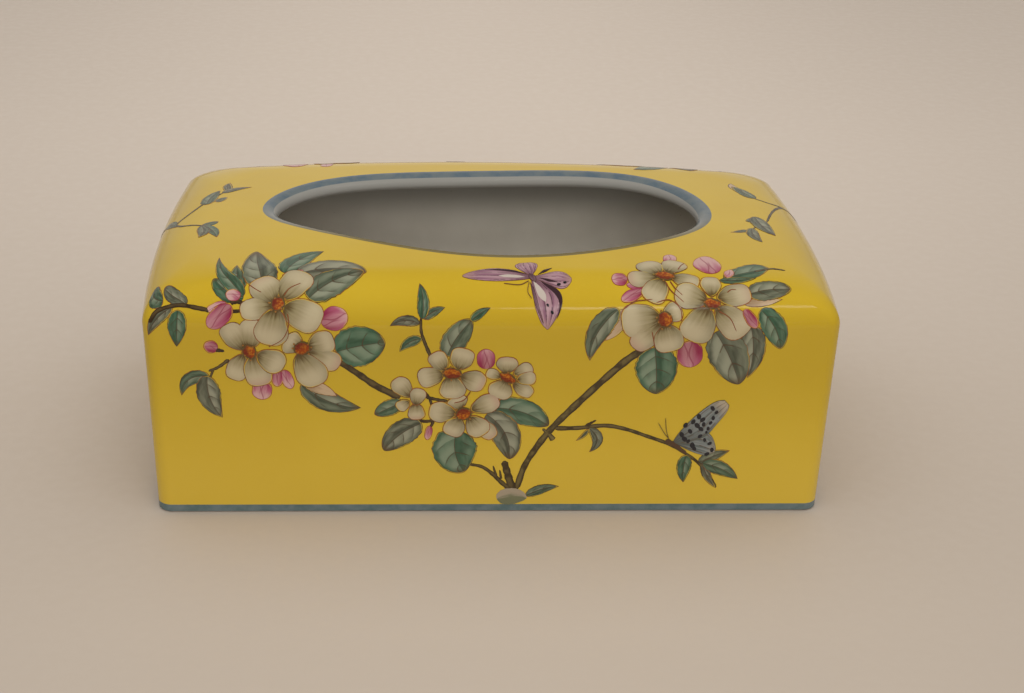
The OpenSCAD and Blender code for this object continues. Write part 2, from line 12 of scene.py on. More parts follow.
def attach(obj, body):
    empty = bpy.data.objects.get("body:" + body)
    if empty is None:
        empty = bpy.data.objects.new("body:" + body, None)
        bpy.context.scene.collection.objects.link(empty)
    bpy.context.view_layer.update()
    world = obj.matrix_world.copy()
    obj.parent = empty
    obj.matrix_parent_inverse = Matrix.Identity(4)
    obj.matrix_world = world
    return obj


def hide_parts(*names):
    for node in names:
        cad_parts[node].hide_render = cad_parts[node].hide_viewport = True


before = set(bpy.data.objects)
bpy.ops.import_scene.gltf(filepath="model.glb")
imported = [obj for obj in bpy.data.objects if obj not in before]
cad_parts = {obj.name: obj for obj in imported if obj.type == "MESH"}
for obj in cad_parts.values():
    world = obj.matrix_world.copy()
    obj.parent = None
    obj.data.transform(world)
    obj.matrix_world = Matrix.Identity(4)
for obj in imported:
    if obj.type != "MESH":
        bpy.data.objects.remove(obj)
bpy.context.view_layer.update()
MM = 0.001
RIGHT_ANGLE = math.pi / 2

# Body
BODY_L = 254.0
BODY_W = 144.0
BODY_H = 91.6
WALL_T = 5.5
COAT_T = 0.4
END_BOW = 4.0
FOOT_DRAW = 1.3
CORNER_R = 4.5
CORNER_GAIN = 0.6
HALF_L = BODY_L / 2
HALF_W = BODY_W / 2

# Roof
EDGE_RISE = 14.0
EDGE_RUN = 21.5
EDGE_LEAD = 0.21
FRONT_ARCH = -1.0
BACK_ARCH = 4.8
PILLOW = 2.8
WALL_H = BODY_H - EDGE_RISE
EDGE_RATIO = ((EDGE_RISE - EDGE_RUN) / (EDGE_RISE + EDGE_RUN)) ** 2
EDGE_LEN = math.pi / 4 * (EDGE_RISE + EDGE_RUN) * (1 + 3 * EDGE_RATIO / (10 + math.sqrt(4 - 3 * EDGE_RATIO)))
SKIN_H = WALL_H + EDGE_LEN

# Mouth
MOUTH_L = 179.0
MOUTH_W = 89.2
MOUTH_BACK = 5.4
MOUTH_LEAN = 3.2
MOUTH_SQUARE = 1.2
MOUTH_DIP = 2.8
MOUTH_WAVE = 2.2
LIP_RUN = 6.0
LIP_DROP = 4.0
UNDER_R = 1.1

# Blue lines, bare ring, and lift of the porcelain's inner face
LINE_ROLL = 45.0
LINE_ROLL_RIGHT = 13.0
FOOT_BARE = 0.5
FOOT_LINE_H = 2.8
LINE_TOP = FOOT_BARE + FOOT_LINE_H
LINING_BARE = 4.0
FOOT_R = 0.8
INNER_FACE = COAT_T - WALL_T

# Steps of a quarter of the outline, and steps of each stretch of the profile
END_STEPS = 22
CORNER_STEPS = 12
SIDE_STEPS = 40
AROUND = 4 * (END_STEPS + CORNER_STEPS + SIDE_STEPS)
WALL_STEPS = 14
EDGE_STEPS = 24
ROOF_STEPS = 22
LIP_STEPS = 8
UNDER_STEPS = 5
LINE_STEPS = 4
FOOT_STEPS = 4

# Painting: lift of the lowest enamel, rise from layer to layer, form and foot of each dome, sharp angle
PAINT_BED = 0.03
LAYER_RISE = 0.055
DOME = 0.05
DOME_REACH = 1.2
DOME_POWER = 0.7
PAINT_SINK = 0.05
ACROSS_STEPS = 8
PAINT_SHARP = 50

# Strokes: least half width, wave and teeth of an edge, narrow end of a twig, share of its right half
LEAST_HALF = 0.02
EDGE_WAVE = 0.035
TOOTH_DEPTH = 0.14
TWIG_END = 0.35
TWIG_RIGHT = 0.9
GOLDEN_SHARE = 0.618034
GOLDEN_ANGLE = 137.5
PETAL_STEPS = 16
LEAF_STEPS = 28
LEAF_TEETH = 7
BUD_STEPS = 14
SPOT_STEPS = 7
WING_STEPS = 26
TWIG_STEPS = 7

# Angle of each wall, and how much lower the back repeats the front
FRONT = -90
RIGHT_END = 0
BACK = 90
LEFT_END = 180
BACK_LOW = 0.89


def edge_angle(up):
    """Angle round the rounded top edge, from 0 at the wall to a right angle at the roof."""
    part = np.clip((up - WALL_H) / EDGE_LEN, 0, 1)
    return RIGHT_ANGLE * (part + EDGE_LEAD * part * (1 - part))


def wall_part(up):
    """Share of the straight wall's height that lies below, from 0 to 1."""
    return np.clip(up / WALL_H, 0, 1)


def inset(up):
    """Distance inside the wall line: the foot's draw, then a quarter of an ellipse, then the flat roof."""
    draw = FOOT_DRAW * (1 - wall_part(up))
    return draw + EDGE_RUN * (1 - np.cos(edge_angle(up))) + np.maximum(up - SKIN_H, 0)


def rise(up):
    """Height over the foot before the roof's arch: the straight wall, then a quarter of an ellipse."""
    return WALL_H * wall_part(up) + EDGE_RISE * np.sin(edge_angle(up))


def tilt(up):
    """Angle by which the skin's normal leans up, which is that of the edge's ellipse."""
    return np.arctan2(np.sin(edge_angle(up)) / EDGE_RISE, np.cos(edge_angle(up)) / EDGE_RUN)


def crown(x, y):
    """Height over the corners: a parabola lengthwise, times an arch that grows to the back plus a pillow."""
    along = np.maximum(1 - (x / HALF_L) ** 2, 0)
    arch = FRONT_ARCH + (BACK_ARCH - FRONT_ARCH) * (y / BODY_W + 0.5)
    return along * (arch + PILLOW * (1 - (y / HALF_W) ** 2))


def bowed(x, y, inward):
    """Place along the length once the ends are bowed: the bow grows with x and falls as the square of y."""
    return x + END_BOW * x / (HALF_L - inward) * (1 - np.minimum(np.abs(y) / (HALF_W - inward), 1) ** 2)


def outline(inward):
    """Closed outline inward of the walls: straight walls joined by quarter circles, with bowed ends."""
    radius = CORNER_R + CORNER_GAIN * inward
    x_in, y_in = HALF_L - inward - radius, HALF_W - inward - radius
    end = np.linspace(0, 1, END_STEPS, endpoint=False)
    turn = np.linspace(0, RIGHT_ANGLE, CORNER_STEPS, endpoint=False)
    side = np.linspace(1, 0, SIDE_STEPS, endpoint=False)
    x = np.concatenate([end * 0 + x_in + radius, x_in + radius * np.cos(turn), x_in * side])
    y = np.concatenate([y_in * end, y_in + radius * np.sin(turn), side * 0 + y_in + radius])
    x_half = np.concatenate([x, [0], -x[:0:-1]])
    y_half = np.concatenate([y, [y_in + radius], y[:0:-1]])
    x_all = np.concatenate([x_half, -x_half])
    y_all = np.concatenate([y_half, -y_half])
    return np.stack([bowed(x_all, y_all, inward), y_all], -1)


def mouth_curve(turn):
    """Oval with small hand-cut departures: shorter waves of the same turn."""
    x = MOUTH_L / 2 * np.cos(turn)
    y = MOUTH_BACK + MOUTH_W / 2 * np.sin(turn) + MOUTH_LEAN * np.sin(2 * turn)
    y = y + MOUTH_SQUARE * np.sin(3 * turn) + MOUTH_DIP * np.cos(2 * turn) - MOUTH_WAVE * np.cos(4 * turn)
    return np.stack([x, y], -1)


def mouth_inward(turn, step=0.01):
    """Unit step from the mouth's edge to its middle: a right angle left of the curve's own run."""
    run = mouth_curve(turn + step) - mouth_curve(turn - step)
    return np.stack([-run[:, 1], run[:, 0]], -1) / np.linalg.norm(run, axis=1, keepdims=True)


MOUTH_TURN = 2 * math.pi * np.arange(AROUND) / AROUND
MOUTH_EDGE = mouth_curve(MOUTH_TURN)
MOUTH_INWARD = mouth_inward(MOUTH_TURN)


def lifted(xy, height):
    """Ring at a height, plus the crown over each place."""
    return np.column_stack([xy, height + crown(*xy.T)])


def skin_ring(up, lift):
    """Ring round the walls or the rounded edge, moved off the skin along its normal."""
    xy = outline(inset(up) - lift * math.cos(tilt(up)))
    height = rise(up) + lift * math.sin(tilt(up))
    return np.column_stack([xy, height + wall_part(up) * crown(*xy.T)])


def roof_ring(part, lift):
    """Ring that goes over from the roof's outline to the mouth's, on the crowned roof."""
    xy = outline(inset(SKIN_H)) * (1 - part) + MOUTH_EDGE * part
    return lifted(xy, BODY_H + lift)


def lip_ring(angle, lift):
    """Ring on the quarter-ellipse roll of the lip, at an angle for each place round the mouth."""
    xy = MOUTH_EDGE + MOUTH_INWARD * ((LIP_RUN + lift) * np.sin(angle))[:, None]
    return lifted(xy, BODY_H + lift - (LIP_DROP + lift) * (1 - np.cos(angle)))


def under_ring(angle, lift):
    """Ring on the small round under the lip."""
    xy = MOUTH_EDGE + MOUTH_INWARD * (LIP_RUN + lift - (UNDER_R + lift) * (1 - math.cos(angle)))
    fall = LIP_DROP + (WALL_T - LIP_DROP) * angle / RIGHT_ANGLE + lift * math.sin(angle)
    return lifted(xy, BODY_H - fall)


def line_roll(part):
    """Angle of the roll at a share of the blue line, which widens only at the right end of the mouth."""
    return np.radians(LINE_ROLL + LINE_ROLL_RIGHT * np.maximum(np.cos(MOUTH_TURN), 0) ** 4) * part


def lip_rings(lift, first, last):
    """Rings of the lip between two places: 0 the roof, 1 the blue line's lower edge, 2 the roll's end."""
    places = np.linspace(first, last, LIP_STEPS * int(round(last - first)) + 1)
    beyond = RIGHT_ANGLE - line_roll(1)
    return [lip_ring(line_roll(min(place, 1)) + max(place - 1, 0) * beyond, lift) for place in places]


def under_rings(lift):
    """Rings of the small round, from just below the roll's end to the inner wall."""
    return [under_ring(angle, lift) for angle in np.linspace(0, RIGHT_ANGLE, UNDER_STEPS + 1)[1:]]


def outer_rings(low, lift):
    """Rings up the wall, over the edge and across the roof to the mouth."""
    wall = np.linspace(low, WALL_H, WALL_STEPS + 1)
    edge = np.linspace(WALL_H, SKIN_H, EDGE_STEPS + 1)[1:]
    roof = np.linspace(0, 1, ROOF_STEPS + 1)[1:]
    return [skin_ring(up, lift) for up in (*wall, *edge)] + [roof_ring(part, lift) for part in roof]


def inner_rings(low, lift):
    """The same rings the other way, from beside the mouth down to the foot."""
    return outer_rings(low, lift)[::-1][1:]


def foot_rings(lift, way):
    """Rings of the foot's small round, from its bottom up to a face; way is 1 outside and -1 inside."""
    turns = np.linspace(0, RIGHT_ANGLE, FOOT_STEPS + 1)[:-1]
    ups = FOOT_R * (1 - np.cos(turns))
    lifts = lift - way * FOOT_R * (1 - np.sin(turns))
    return [skin_ring(up, place) for up, place in zip(ups, lifts)]


def mesh_object(name, points, faces, finish, layers=None, sharp=35):
    """Smooth-shaded mesh in metres from points in millimetres, with named layers of values on its points."""
    mesh = bpy.data.meshes.new(name)
    mesh.from_pydata((np.asarray(points) * MM).tolist(), [], faces)
    mesh.update()
    for key, values in (layers or {}).items():
        layer = mesh.attributes.new(key, "FLOAT_VECTOR", "POINT")
        layer.data.foreach_set("vector", np.asarray(values, np.float32).ravel())
    mesh.shade_smooth()
    mesh.set_sharp_from_angle(angle=math.radians(sharp))
    mesh.materials.append(finish)
    return add_object(name, mesh)


def add_object(name, data):
    """Object in the scene, at the origin, that shows a mesh, a lamp or a camera."""
    made = bpy.data.objects.new(name, data)
    bpy.context.scene.collection.objects.link(made)
    return made


def quads(first, second, third, fourth):
    """Four-sided faces from four grids of corner numbers."""
    return np.stack([first, second, third, fourth], -1).reshape(-1, 4).tolist()


def sleeve(name, rings, finish):
    """Closed sleeve over a cycle of rings of equal count."""
    grid = np.array(rings)
    count, around = grid.shape[:2]
    ring, place = np.meshgrid(np.arange(count), np.arange(around), indexing="ij")
    here, above = ring * around, (ring + 1) % count * around
    beside = (place + 1) % around
    faces = quads(here + place, here + beside, above + beside, above + place)
    return mesh_object(name, grid.reshape(-1, 3), faces, finish)


def direction(degrees):
    """Unit step at an angle, as its cosine and sine."""
    return np.array([math.cos(math.radians(degrees)), math.sin(math.radians(degrees))])


def placed(wall, across, up, lift):
    """Place on a wall's skin: across from its middle, up from the foot, and on round the upright corner.

    The back repeats the front a little lower.
    """
    up = up * BACK_LOW if wall == BACK else up
    out_way = direction(wall).round()
    along_way = np.array([-out_way[1], out_way[0]])
    reach_full, depth_full = (HALF_L, HALF_W) if out_way[0] == 0 else (HALF_W, HALF_L)
    inward = inset(up)
    radius = CORNER_R + CORNER_GAIN * inward
    reach = reach_full - inward - radius
    arc = np.clip((np.abs(across) - reach) / radius, 0, RIGHT_ANGLE)
    beyond = np.maximum(np.abs(across) - reach - radius * RIGHT_ANGLE, 0)
    along = np.where(arc > 0, np.sign(across) * (reach + radius * np.sin(arc)), across)
    out = depth_full - inward - radius * (1 - np.cos(arc)) - beyond
    spot = along[..., None] * along_way + out[..., None] * out_way
    lift_way = (np.sign(across) * np.sin(arc))[..., None] * along_way + np.cos(arc)[..., None] * out_way
    x, y = bowed(spot[..., 0], spot[..., 1], inward), spot[..., 1]
    flat = lift * np.cos(tilt(up))
    height = rise(up) + lift * np.sin(tilt(up)) + wall_part(up) * crown(x, y)
    return np.stack([x + flat * lift_way[..., 0], y + flat * lift_way[..., 1], height], -1)


def rim_distance(points, rim):
    """Shortest distance from each point to a closed outline, by the nearest place on each of its sides."""
    run = np.roll(rim, -1, axis=0) - rim
    away = points[:, None] - rim[None]
    share = np.clip((away * run).sum(-1) / np.maximum((run * run).sum(-1), 1e-9), 0, 1)
    return np.linalg.norm(away - share[..., None] * run, axis=-1).min(1)


def eased_shares(steps):
    """Shares from 0 to 1 that lie closer together at both ends: half a turn of a cosine."""
    return (1 - np.cos(np.pi * np.linspace(0, 1, steps + 1))) / 2


def smooth_curve(places, fine):
    """Catmull-Rom curve: between two places a cubic whose slopes come from their neighbours."""
    slopes = np.gradient(places, axis=0)
    index = np.minimum(fine.astype(int), len(places) - 2)
    part = (fine - index)[:, None]
    return ((2 * part ** 3 - 3 * part ** 2 + 1) * places[index]
            + (part ** 3 - 2 * part ** 2 + part) * slopes[index]
            + (3 * part ** 2 - 2 * part ** 3) * places[index + 1]
            + (part ** 3 - part ** 2) * slopes[index + 1])


class Painting:
    """Enamel strokes of one kind on the cover, gathered into one mesh."""

    def __init__(self):
        self.points, self.faces, self.stroke, self.mark, self.count = [], [], [], [], 0

    def ribbon(self, wall, spine, left, right, layer, tone, pale=1):
        """Low closed lens along a spine on the wall: its top is a shallow dome across the two half widths.

        The stroke layer keeps the place along, the side and the distance from the rim. The mark layer keeps
        the tone, a number of its own and the widest place, which is negative for a pale right half.
        """
        run = np.gradient(spine, axis=0)
        length = np.concatenate([[0], np.cumsum(np.linalg.norm(np.diff(spine, axis=0), axis=1))])
        aside = np.stack([-run[:, 1], run[:, 0]], -1) / np.linalg.norm(run, axis=1, keepdims=True)
        side = np.linspace(-1, 1, ACROSS_STEPS + 1)
        off = ((left - right)[:, None] + (left + right)[:, None] * side) / 2
        flat = spine[:, None] + aside[:, None] * off[..., None]
        edge = np.concatenate([flat[:, 0], flat[::-1, -1]])
        rim = rim_distance(flat.reshape(-1, 2), edge).reshape(flat.shape[:2])
        lift = PAINT_BED + LAYER_RISE * layer + DOME * np.minimum(rim / DOME_REACH, 1) ** DOME_POWER
        under = flat[:, [-1, 0]]
        flat = np.concatenate([flat, under], 1)
        lift = np.concatenate([lift, np.full(under.shape[:2], -PAINT_SINK)], 1)
        rings, across = flat.shape[:2]
        self.points.append(placed(wall, flat[..., 0], flat[..., 1], lift).reshape(-1, 3))
        ring, place = np.meshgrid(np.arange(rings - 1), np.arange(across), indexing="ij")
        here = self.count + ring * across
        beside = (place + 1) % across
        self.faces += quads(here + place, here + across + place, here + across + beside, here + beside)
        first_cap = list(range(self.count, self.count + across))
        self.faces += [first_cap, [corner + (rings - 1) * across for corner in first_cap[::-1]]]
        sides = np.concatenate([side, [1, -1]])
        rims = np.concatenate([rim, np.zeros(under.shape[:2])], 1)
        along = np.broadcast_to((length / length[-1])[:, None], (rings, across))
        stroke = np.stack([along, np.broadcast_to(sides, (rings, across)), rims], -1)
        self.stroke.append(stroke.reshape(-1, 3))
        seed = (len(self.points) * GOLDEN_SHARE) % 1
        widest = pale * max((left + right).max(), 0.1)
        self.mark.append(np.broadcast_to([tone, seed, widest], (rings * across, 3)))
        self.count += rings * across

    def blade(self, wall, base, tip, width, form, steps, layer, tone=0.0, bend=0.0, teeth=0, pale=1):
        """Leaf, petal or bud: half width is the base's share to one power times the tip's to another."""
        base, tip = np.array(base, float), np.array(tip, float)
        share = eased_shares(steps)
        run = tip - base
        aside = np.array([-run[1], run[0]]) / np.hypot(*run)
        spine = base + run * share[:, None] + aside * (bend * 4 * share * (1 - share))[:, None]
        near, far = form
        peak = near / (near + far)
        swell = (share / peak) ** near * ((1 - share) / (1 - peak)) ** far
        seed = (base[0] * 0.37 + base[1] * 0.73) % 1
        wave = 1 + EDGE_WAVE * np.sin(2 * np.pi * (1.6 * share + seed)) * (teeth == 0)
        saw = 1 - TOOTH_DEPTH * ((share * teeth + seed) % 1) * (1 - share) if teeth else 1
        half = np.maximum(width / 2 * swell * wave * saw, LEAST_HALF)
        self.ribbon(wall, spine, half, half, layer, tone, pale)

    def wing(self, wall, base, tip, left_edge, right_edge, tone, layer):
        """Wing whose edges are half widths at shares of its length, rounded three times."""
        base, tip = np.array(base, float), np.array(tip, float)
        share = eased_shares(WING_STEPS)
        spine = base + (tip - base) * share[:, None]
        halves = [np.interp(share, *zip(*edge)) for edge in (left_edge, right_edge)]
        for _ in range(3):
            halves = [np.convolve(np.pad(half, 1, "edge"), (0.25, 0.5, 0.25), "valid") for half in halves]
        close = np.maximum(LEAST_HALF - halves[0] - halves[1], 0) / 2
        self.ribbon(wall, spine, halves[0] + close, halves[1] + close, layer, tone)

    def twig(self, wall, places, start, end, tone, layer):
        """Tapered stroke on a smooth curve through the places, made uneven by a long and a short wave."""
        places = np.array(places, float)
        fine = np.linspace(0, len(places) - 1, TWIG_STEPS * (len(places) - 1) + 1)
        share = fine / fine[-1]
        seed = places[0, 0]
        uneven = 1 + 0.07 * np.sin(9.1 * share * len(places) + seed) + 0.05 * np.sin(23.7 * share + 2 * seed)
        half = (start + (end - start) * share) / 2 * uneven
        half[[0, -1]] *= TWIG_END
        self.ribbon(wall, smooth_curve(places, fine), half, half * TWIG_RIGHT, layer, tone)

    def spot(self, wall, place, length, width, turn, layer, tone=0.0):
        """Small oval drop of enamel, turned on its wall."""
        way = direction(turn) * length / 2
        self.blade(wall, place - way, place + way, width, OVAL, SPOT_STEPS, layer, tone)

    def mesh(self, name, finish):
        """All strokes so far as one object."""
        layers = {"stroke": np.concatenate(self.stroke), "mark": np.concatenate(self.mark)}
        return mesh_object(name, np.concatenate(self.points), self.faces, finish, layers, PAINT_SHARP)


def dress(piece, *nodes):
    """The piece rides with the cover and stands for its CAD nodes, which it hides."""
    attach(piece, "root")
    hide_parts(*nodes)


def feed(socket, value):
    """Link a worked-out value to the socket, or set a plain number or colour on it."""
    if isinstance(value, Value):
        value.tree.links.new(value.socket, socket)
    elif socket.type == "RGBA":
        socket.default_value = (*value, 1)
    else:
        socket.default_value = value


def add_node(tree, kind, inputs=None, **settings):
    """Shader node with its settings, and its inputs by name or number."""
    made = tree.nodes.new(kind)
    for key, value in settings.items():
        setattr(made, key, value)
    for key, value in (inputs or {}).items():
        feed(made.inputs[key], value)
    return made


def maths(operation, *values):
    """Math node on numbers and values, at least one of them a value."""
    tree = next(value.tree for value in values if isinstance(value, Value))
    made = add_node(tree, "ShaderNodeMath", dict(enumerate(values)), operation=operation)
    return Value(tree, made.outputs[0])


class Value:
    """Number or colour that varies over a surface; sums done on it become shader nodes."""

    def __init__(self, tree, socket):
        self.tree = tree
        self.socket = socket

    def __add__(self, other):
        return maths("ADD", self, other)

    def __sub__(self, other):
        return maths("SUBTRACT", self, other)

    def __rsub__(self, other):
        return maths("SUBTRACT", other, self)

    def __mul__(self, other):
        return maths("MULTIPLY", self, other)

    def __rtruediv__(self, other):
        return maths("DIVIDE", other, self)

    def __pow__(self, power):
        return maths("POWER", self, power)

    def __abs__(self):
        return maths("ABSOLUTE", self)

    def span(self, low, high, first=0.0, last=1.0, between="LINEAR"):
        """First up to low, last from high on, and straight between; low may be above high."""
        ranges = {"Value": self, "From Min": low, "From Max": high, "To Min": first, "To Max": last}
        made = add_node(self.tree, "ShaderNodeMapRange", ranges, interpolation_type=between)
        return Value(self.tree, made.outputs[0])

    def ease(self, low, high):
        """0 up to low, 1 from high on, and a smooth step between."""
        return self.span(low, high, between="SMOOTHSTEP")

    def blend(self, low, high):
        """Colour that is low where the value is 0 and high where it is 1."""
        made = add_node(self.tree, "ShaderNodeMix", {0: self}, data_type="RGBA")
        colours = [socket for socket in made.inputs if socket.type == "RGBA"]
        feed(colours[0], low)
        feed(colours[1], high)
        return Value(self.tree, next(socket for socket in made.outputs if socket.type == "RGBA"))

    def parts(self):
        """The three numbers that a place or a stroke's layer holds."""
        made = add_node(self.tree, "ShaderNodeSeparateXYZ", {0: self})
        return [Value(self.tree, socket) for socket in made.outputs]


class Finish:
    """Material whose fill is built up by laying colours over it.

    Its roughness drifts in soft patches between a smooth and a worn value.
    """

    def __init__(self, name, roughness, specular=0.5):
        self.material = bpy.data.materials.new(name)
        self.material.use_nodes = True
        self.tree = self.material.node_tree
        self.shader = self.tree.nodes["Principled BSDF"]
        self.place = Value(self.tree, add_node(self.tree, "ShaderNodeTexCoord").outputs["Object"])
        self.x, self.y, self.z = self.place.parts()
        self.fill = None
        self.shader.inputs["Specular IOR Level"].default_value = specular
        smooth, worn = roughness * 0.8, roughness * 1.25
        feed(self.shader.inputs["Roughness"], self.noise(6, 3).span(0.35, 0.65, smooth, worn))

    def noise(self, size_mm, detail, place=None):
        """Noise whose features are about this size, from 0 to 1."""
        inputs = {"Vector": place or self.place, "Scale": 1 / (size_mm * MM), "Detail": detail}
        return Value(self.tree, add_node(self.tree, "ShaderNodeTexNoise", inputs).outputs["Fac"])

    def lay(self, colour, share, strength=None):
        """Lay a colour over the fill: by a share that varies, times a strength."""
        share = share if strength is None else share * strength
        self.fill = share.blend(self.fill, colour)

    def done(self, relief=None, depth_mm=0.0):
        """Material with the fill as its colour, and with a relief of this depth."""
        feed(self.shader.inputs["Base Color"], self.fill)
        if relief:
            inputs = {"Strength": 1.0, "Distance": depth_mm * MM, "Height": relief}
            bump = add_node(self.tree, "ShaderNodeBump", inputs)
            feed(self.shader.inputs["Normal"], Value(self.tree, bump.outputs[0]))
        return self.material


class Enamel(Finish):
    """Finish of painted strokes, which reads the values that their points carry."""

    def __init__(self, name, roughness, specular=0.5):
        super().__init__(name, roughness, specular)
        self.along, self.side, self.rim = self.layer("stroke")
        self.tone, self.seed, self.widest = self.layer("mark")

    def layer(self, name):
        """The numbers that a stroke's points carry under this name."""
        read = add_node(self.tree, "ShaderNodeAttribute", attribute_name=name)
        return Value(self.tree, read.outputs["Vector"]).parts()

    def streaks(self, length, count):
        """Brush streaks from base to tip: noise drawn out along the stroke, from 0 to 1."""
        drawn = {0: self.along * length, 1: self.side * count, 2: self.seed * 37.0}
        made = add_node(self.tree, "ShaderNodeCombineXYZ", drawn)
        return self.noise(1000, 2, Value(self.tree, made.outputs[0]))

    def reach(self, brushed, spread):
        """Place along a stroke, made uneven by its brush streaks."""
        return self.along + (brushed - 0.5) * spread

    def outline(self, width, line, bare=0.7):
        """Line drawn at the rim, which is uneven and in places lets a hair of yellow show beside it."""
        uneven = self.rim + (self.noise(1.4, 1) - 0.5) * 0.30
        gap = uneven.ease(width * 2.6, width * 1.5) * self.noise(7, 1).ease(0.44, 0.60)
        self.lay(YELLOW, gap, bare)
        self.lay(line, uneven.ease(width * 1.25, width * 0.75))


YELLOW = (0.565, 0.385, 0.020)
LINE_RED = (0.200, 0.055, 0.018)
LINE_BROWN = (0.070, 0.034, 0.016)


def yellow_glaze():
    """Even yellow enamel with clouds, mottle and pinholes, painted shade under the shoulder and painted
    light at the foot.
    """
    deep, pale, pinhole = (0.545, 0.365, 0.017), (0.590, 0.415, 0.033), (0.25, 0.13, 0.01)
    shoulder_shade, foot_bounce_light = (0.460, 0.305, 0.014), (0.645, 0.445, 0.055)
    glaze = Finish("yellow_glaze", 0.09)
    glaze.fill = glaze.noise(38, 2).ease(0.35, 0.68).blend(deep, YELLOW)
    glaze.lay(pale, glaze.noise(1.6, 3).ease(0.55, 0.75), 0.25)
    # Painted shade: the walls darken up towards the shoulder of the edge, and the roof is left as it is
    glaze.lay(shoulder_shade, glaze.z.ease(0.020, 0.074) * glaze.z.ease(0.091, 0.079), 0.55)
    # Painted bounce light: the walls grow paler towards the foot
    glaze.lay(foot_bounce_light, glaze.z.ease(0.060, 0.0), 0.60)
    glaze.lay(pinhole, glaze.noise(0.9, 1).ease(0.80, 0.86), 0.35)
    return glaze.done(glaze.noise(11, 1) + glaze.noise(2.5, 1) * 0.06, 0.10)


def white_glaze():
    """Clear glaze over greyish porcelain, greyer on the lip, with painted shade on the inner walls under the
    roof, and specks.
    """
    cloud, white, lip_grey = (0.80, 0.77, 0.69), (0.86, 0.83, 0.75), (0.28, 0.275, 0.255)
    roof_shade, speck = (0.125, 0.115, 0.095), (0.14, 0.10, 0.07)
    glaze = Finish("white_glaze", 0.10)
    glaze.fill = glaze.noise(16, 2).ease(0.3, 0.7).blend(cloud, white)
    glaze.lay(lip_grey, glaze.z.ease(0.066, 0.089))
    # Painted shade: the upper inner walls at the back and the ends, which the roof overhangs, are darkened
    under_roof = maths("MAXIMUM", glaze.y.ease(0.052, 0.060), abs(glaze.x).ease(0.097, 0.108))
    glaze.lay(roof_shade, under_roof * glaze.z.ease(0.060, 0.086), 0.75)
    glaze.lay(speck, glaze.noise(1.1, 1).ease(0.79, 0.84), 0.5)
    return glaze.done(glaze.noise(9, 1), 0.12)


def bare_porcelain():
    """Unglazed fired body: matt, off-white, with a fine grain and a slight toast."""
    body = Finish("bare_porcelain", 0.75, 0.3)
    body.fill = body.noise(7, 3).ease(0.4, 0.75).blend((0.52, 0.47, 0.41), (0.44, 0.36, 0.27))
    return body.done(body.noise(0.35, 3), 0.05)


def blue_line(name, deep, pale, worn=None):
    """Blue enamel drawn with a brush: pale in places, deep where it pooled, and at the front maybe worn."""
    line = Finish(name, 0.12)
    line.fill = line.noise(6, 3).ease(0.32, 0.68).blend(deep, pale)
    line.lay(pale, line.noise(1.3, 2).ease(0.4, 0.7), 0.3)
    if worn:
        whole = line.y.ease(-0.030, 0.010)
        line.fill = whole.blend(worn, line.fill)
        feed(line.shader.inputs["Specular IOR Level"], whole * 0.5)
    return line.done(line.noise(3, 1), 0.05)


def petal_enamel():
    """Cream petal: olive-brown shade and streaks at the heart, pale swelling outward, and a red outline.

    Strokes of tone above 1.5 are the drawn fold lines that lie on the petals.
    """
    cream, olive, umber = (0.415, 0.345, 0.215), (0.235, 0.190, 0.090), (0.095, 0.058, 0.018)
    swollen, grey, blush = (0.480, 0.405, 0.260), (0.225, 0.205, 0.125), (0.450, 0.240, 0.190)
    red, brown = (0.250, 0.075, 0.020), (0.130, 0.045, 0.018)
    petal = Enamel("cream_enamel", 0.16)
    reach = petal.reach(petal.streaks(1.2, 5.0), 0.4)
    petal.fill = reach.ease(0.80, 0.12).blend(cream, olive)
    petal.lay(umber, reach.ease(0.32, 0.08))
    petal.lay(swollen, petal.rim.ease(0.4, 2.4) * petal.along.ease(0.40, 0.72), 0.65)
    petal.lay(grey, petal.side.ease(0.1, 0.95) * petal.seed.ease(0.35, 0.5), 0.40)
    petal.lay(blush, petal.seed.ease(0.66, 0.9) * petal.along.ease(0.6, 1.0), 0.45)
    petal.outline(0.24, petal.noise(6, 1).ease(0.42, 0.60).blend(red, brown))
    petal.lay(LINE_RED, petal.tone.ease(1.4, 1.6))
    return petal.done(petal.noise(2, 1), 0.03)


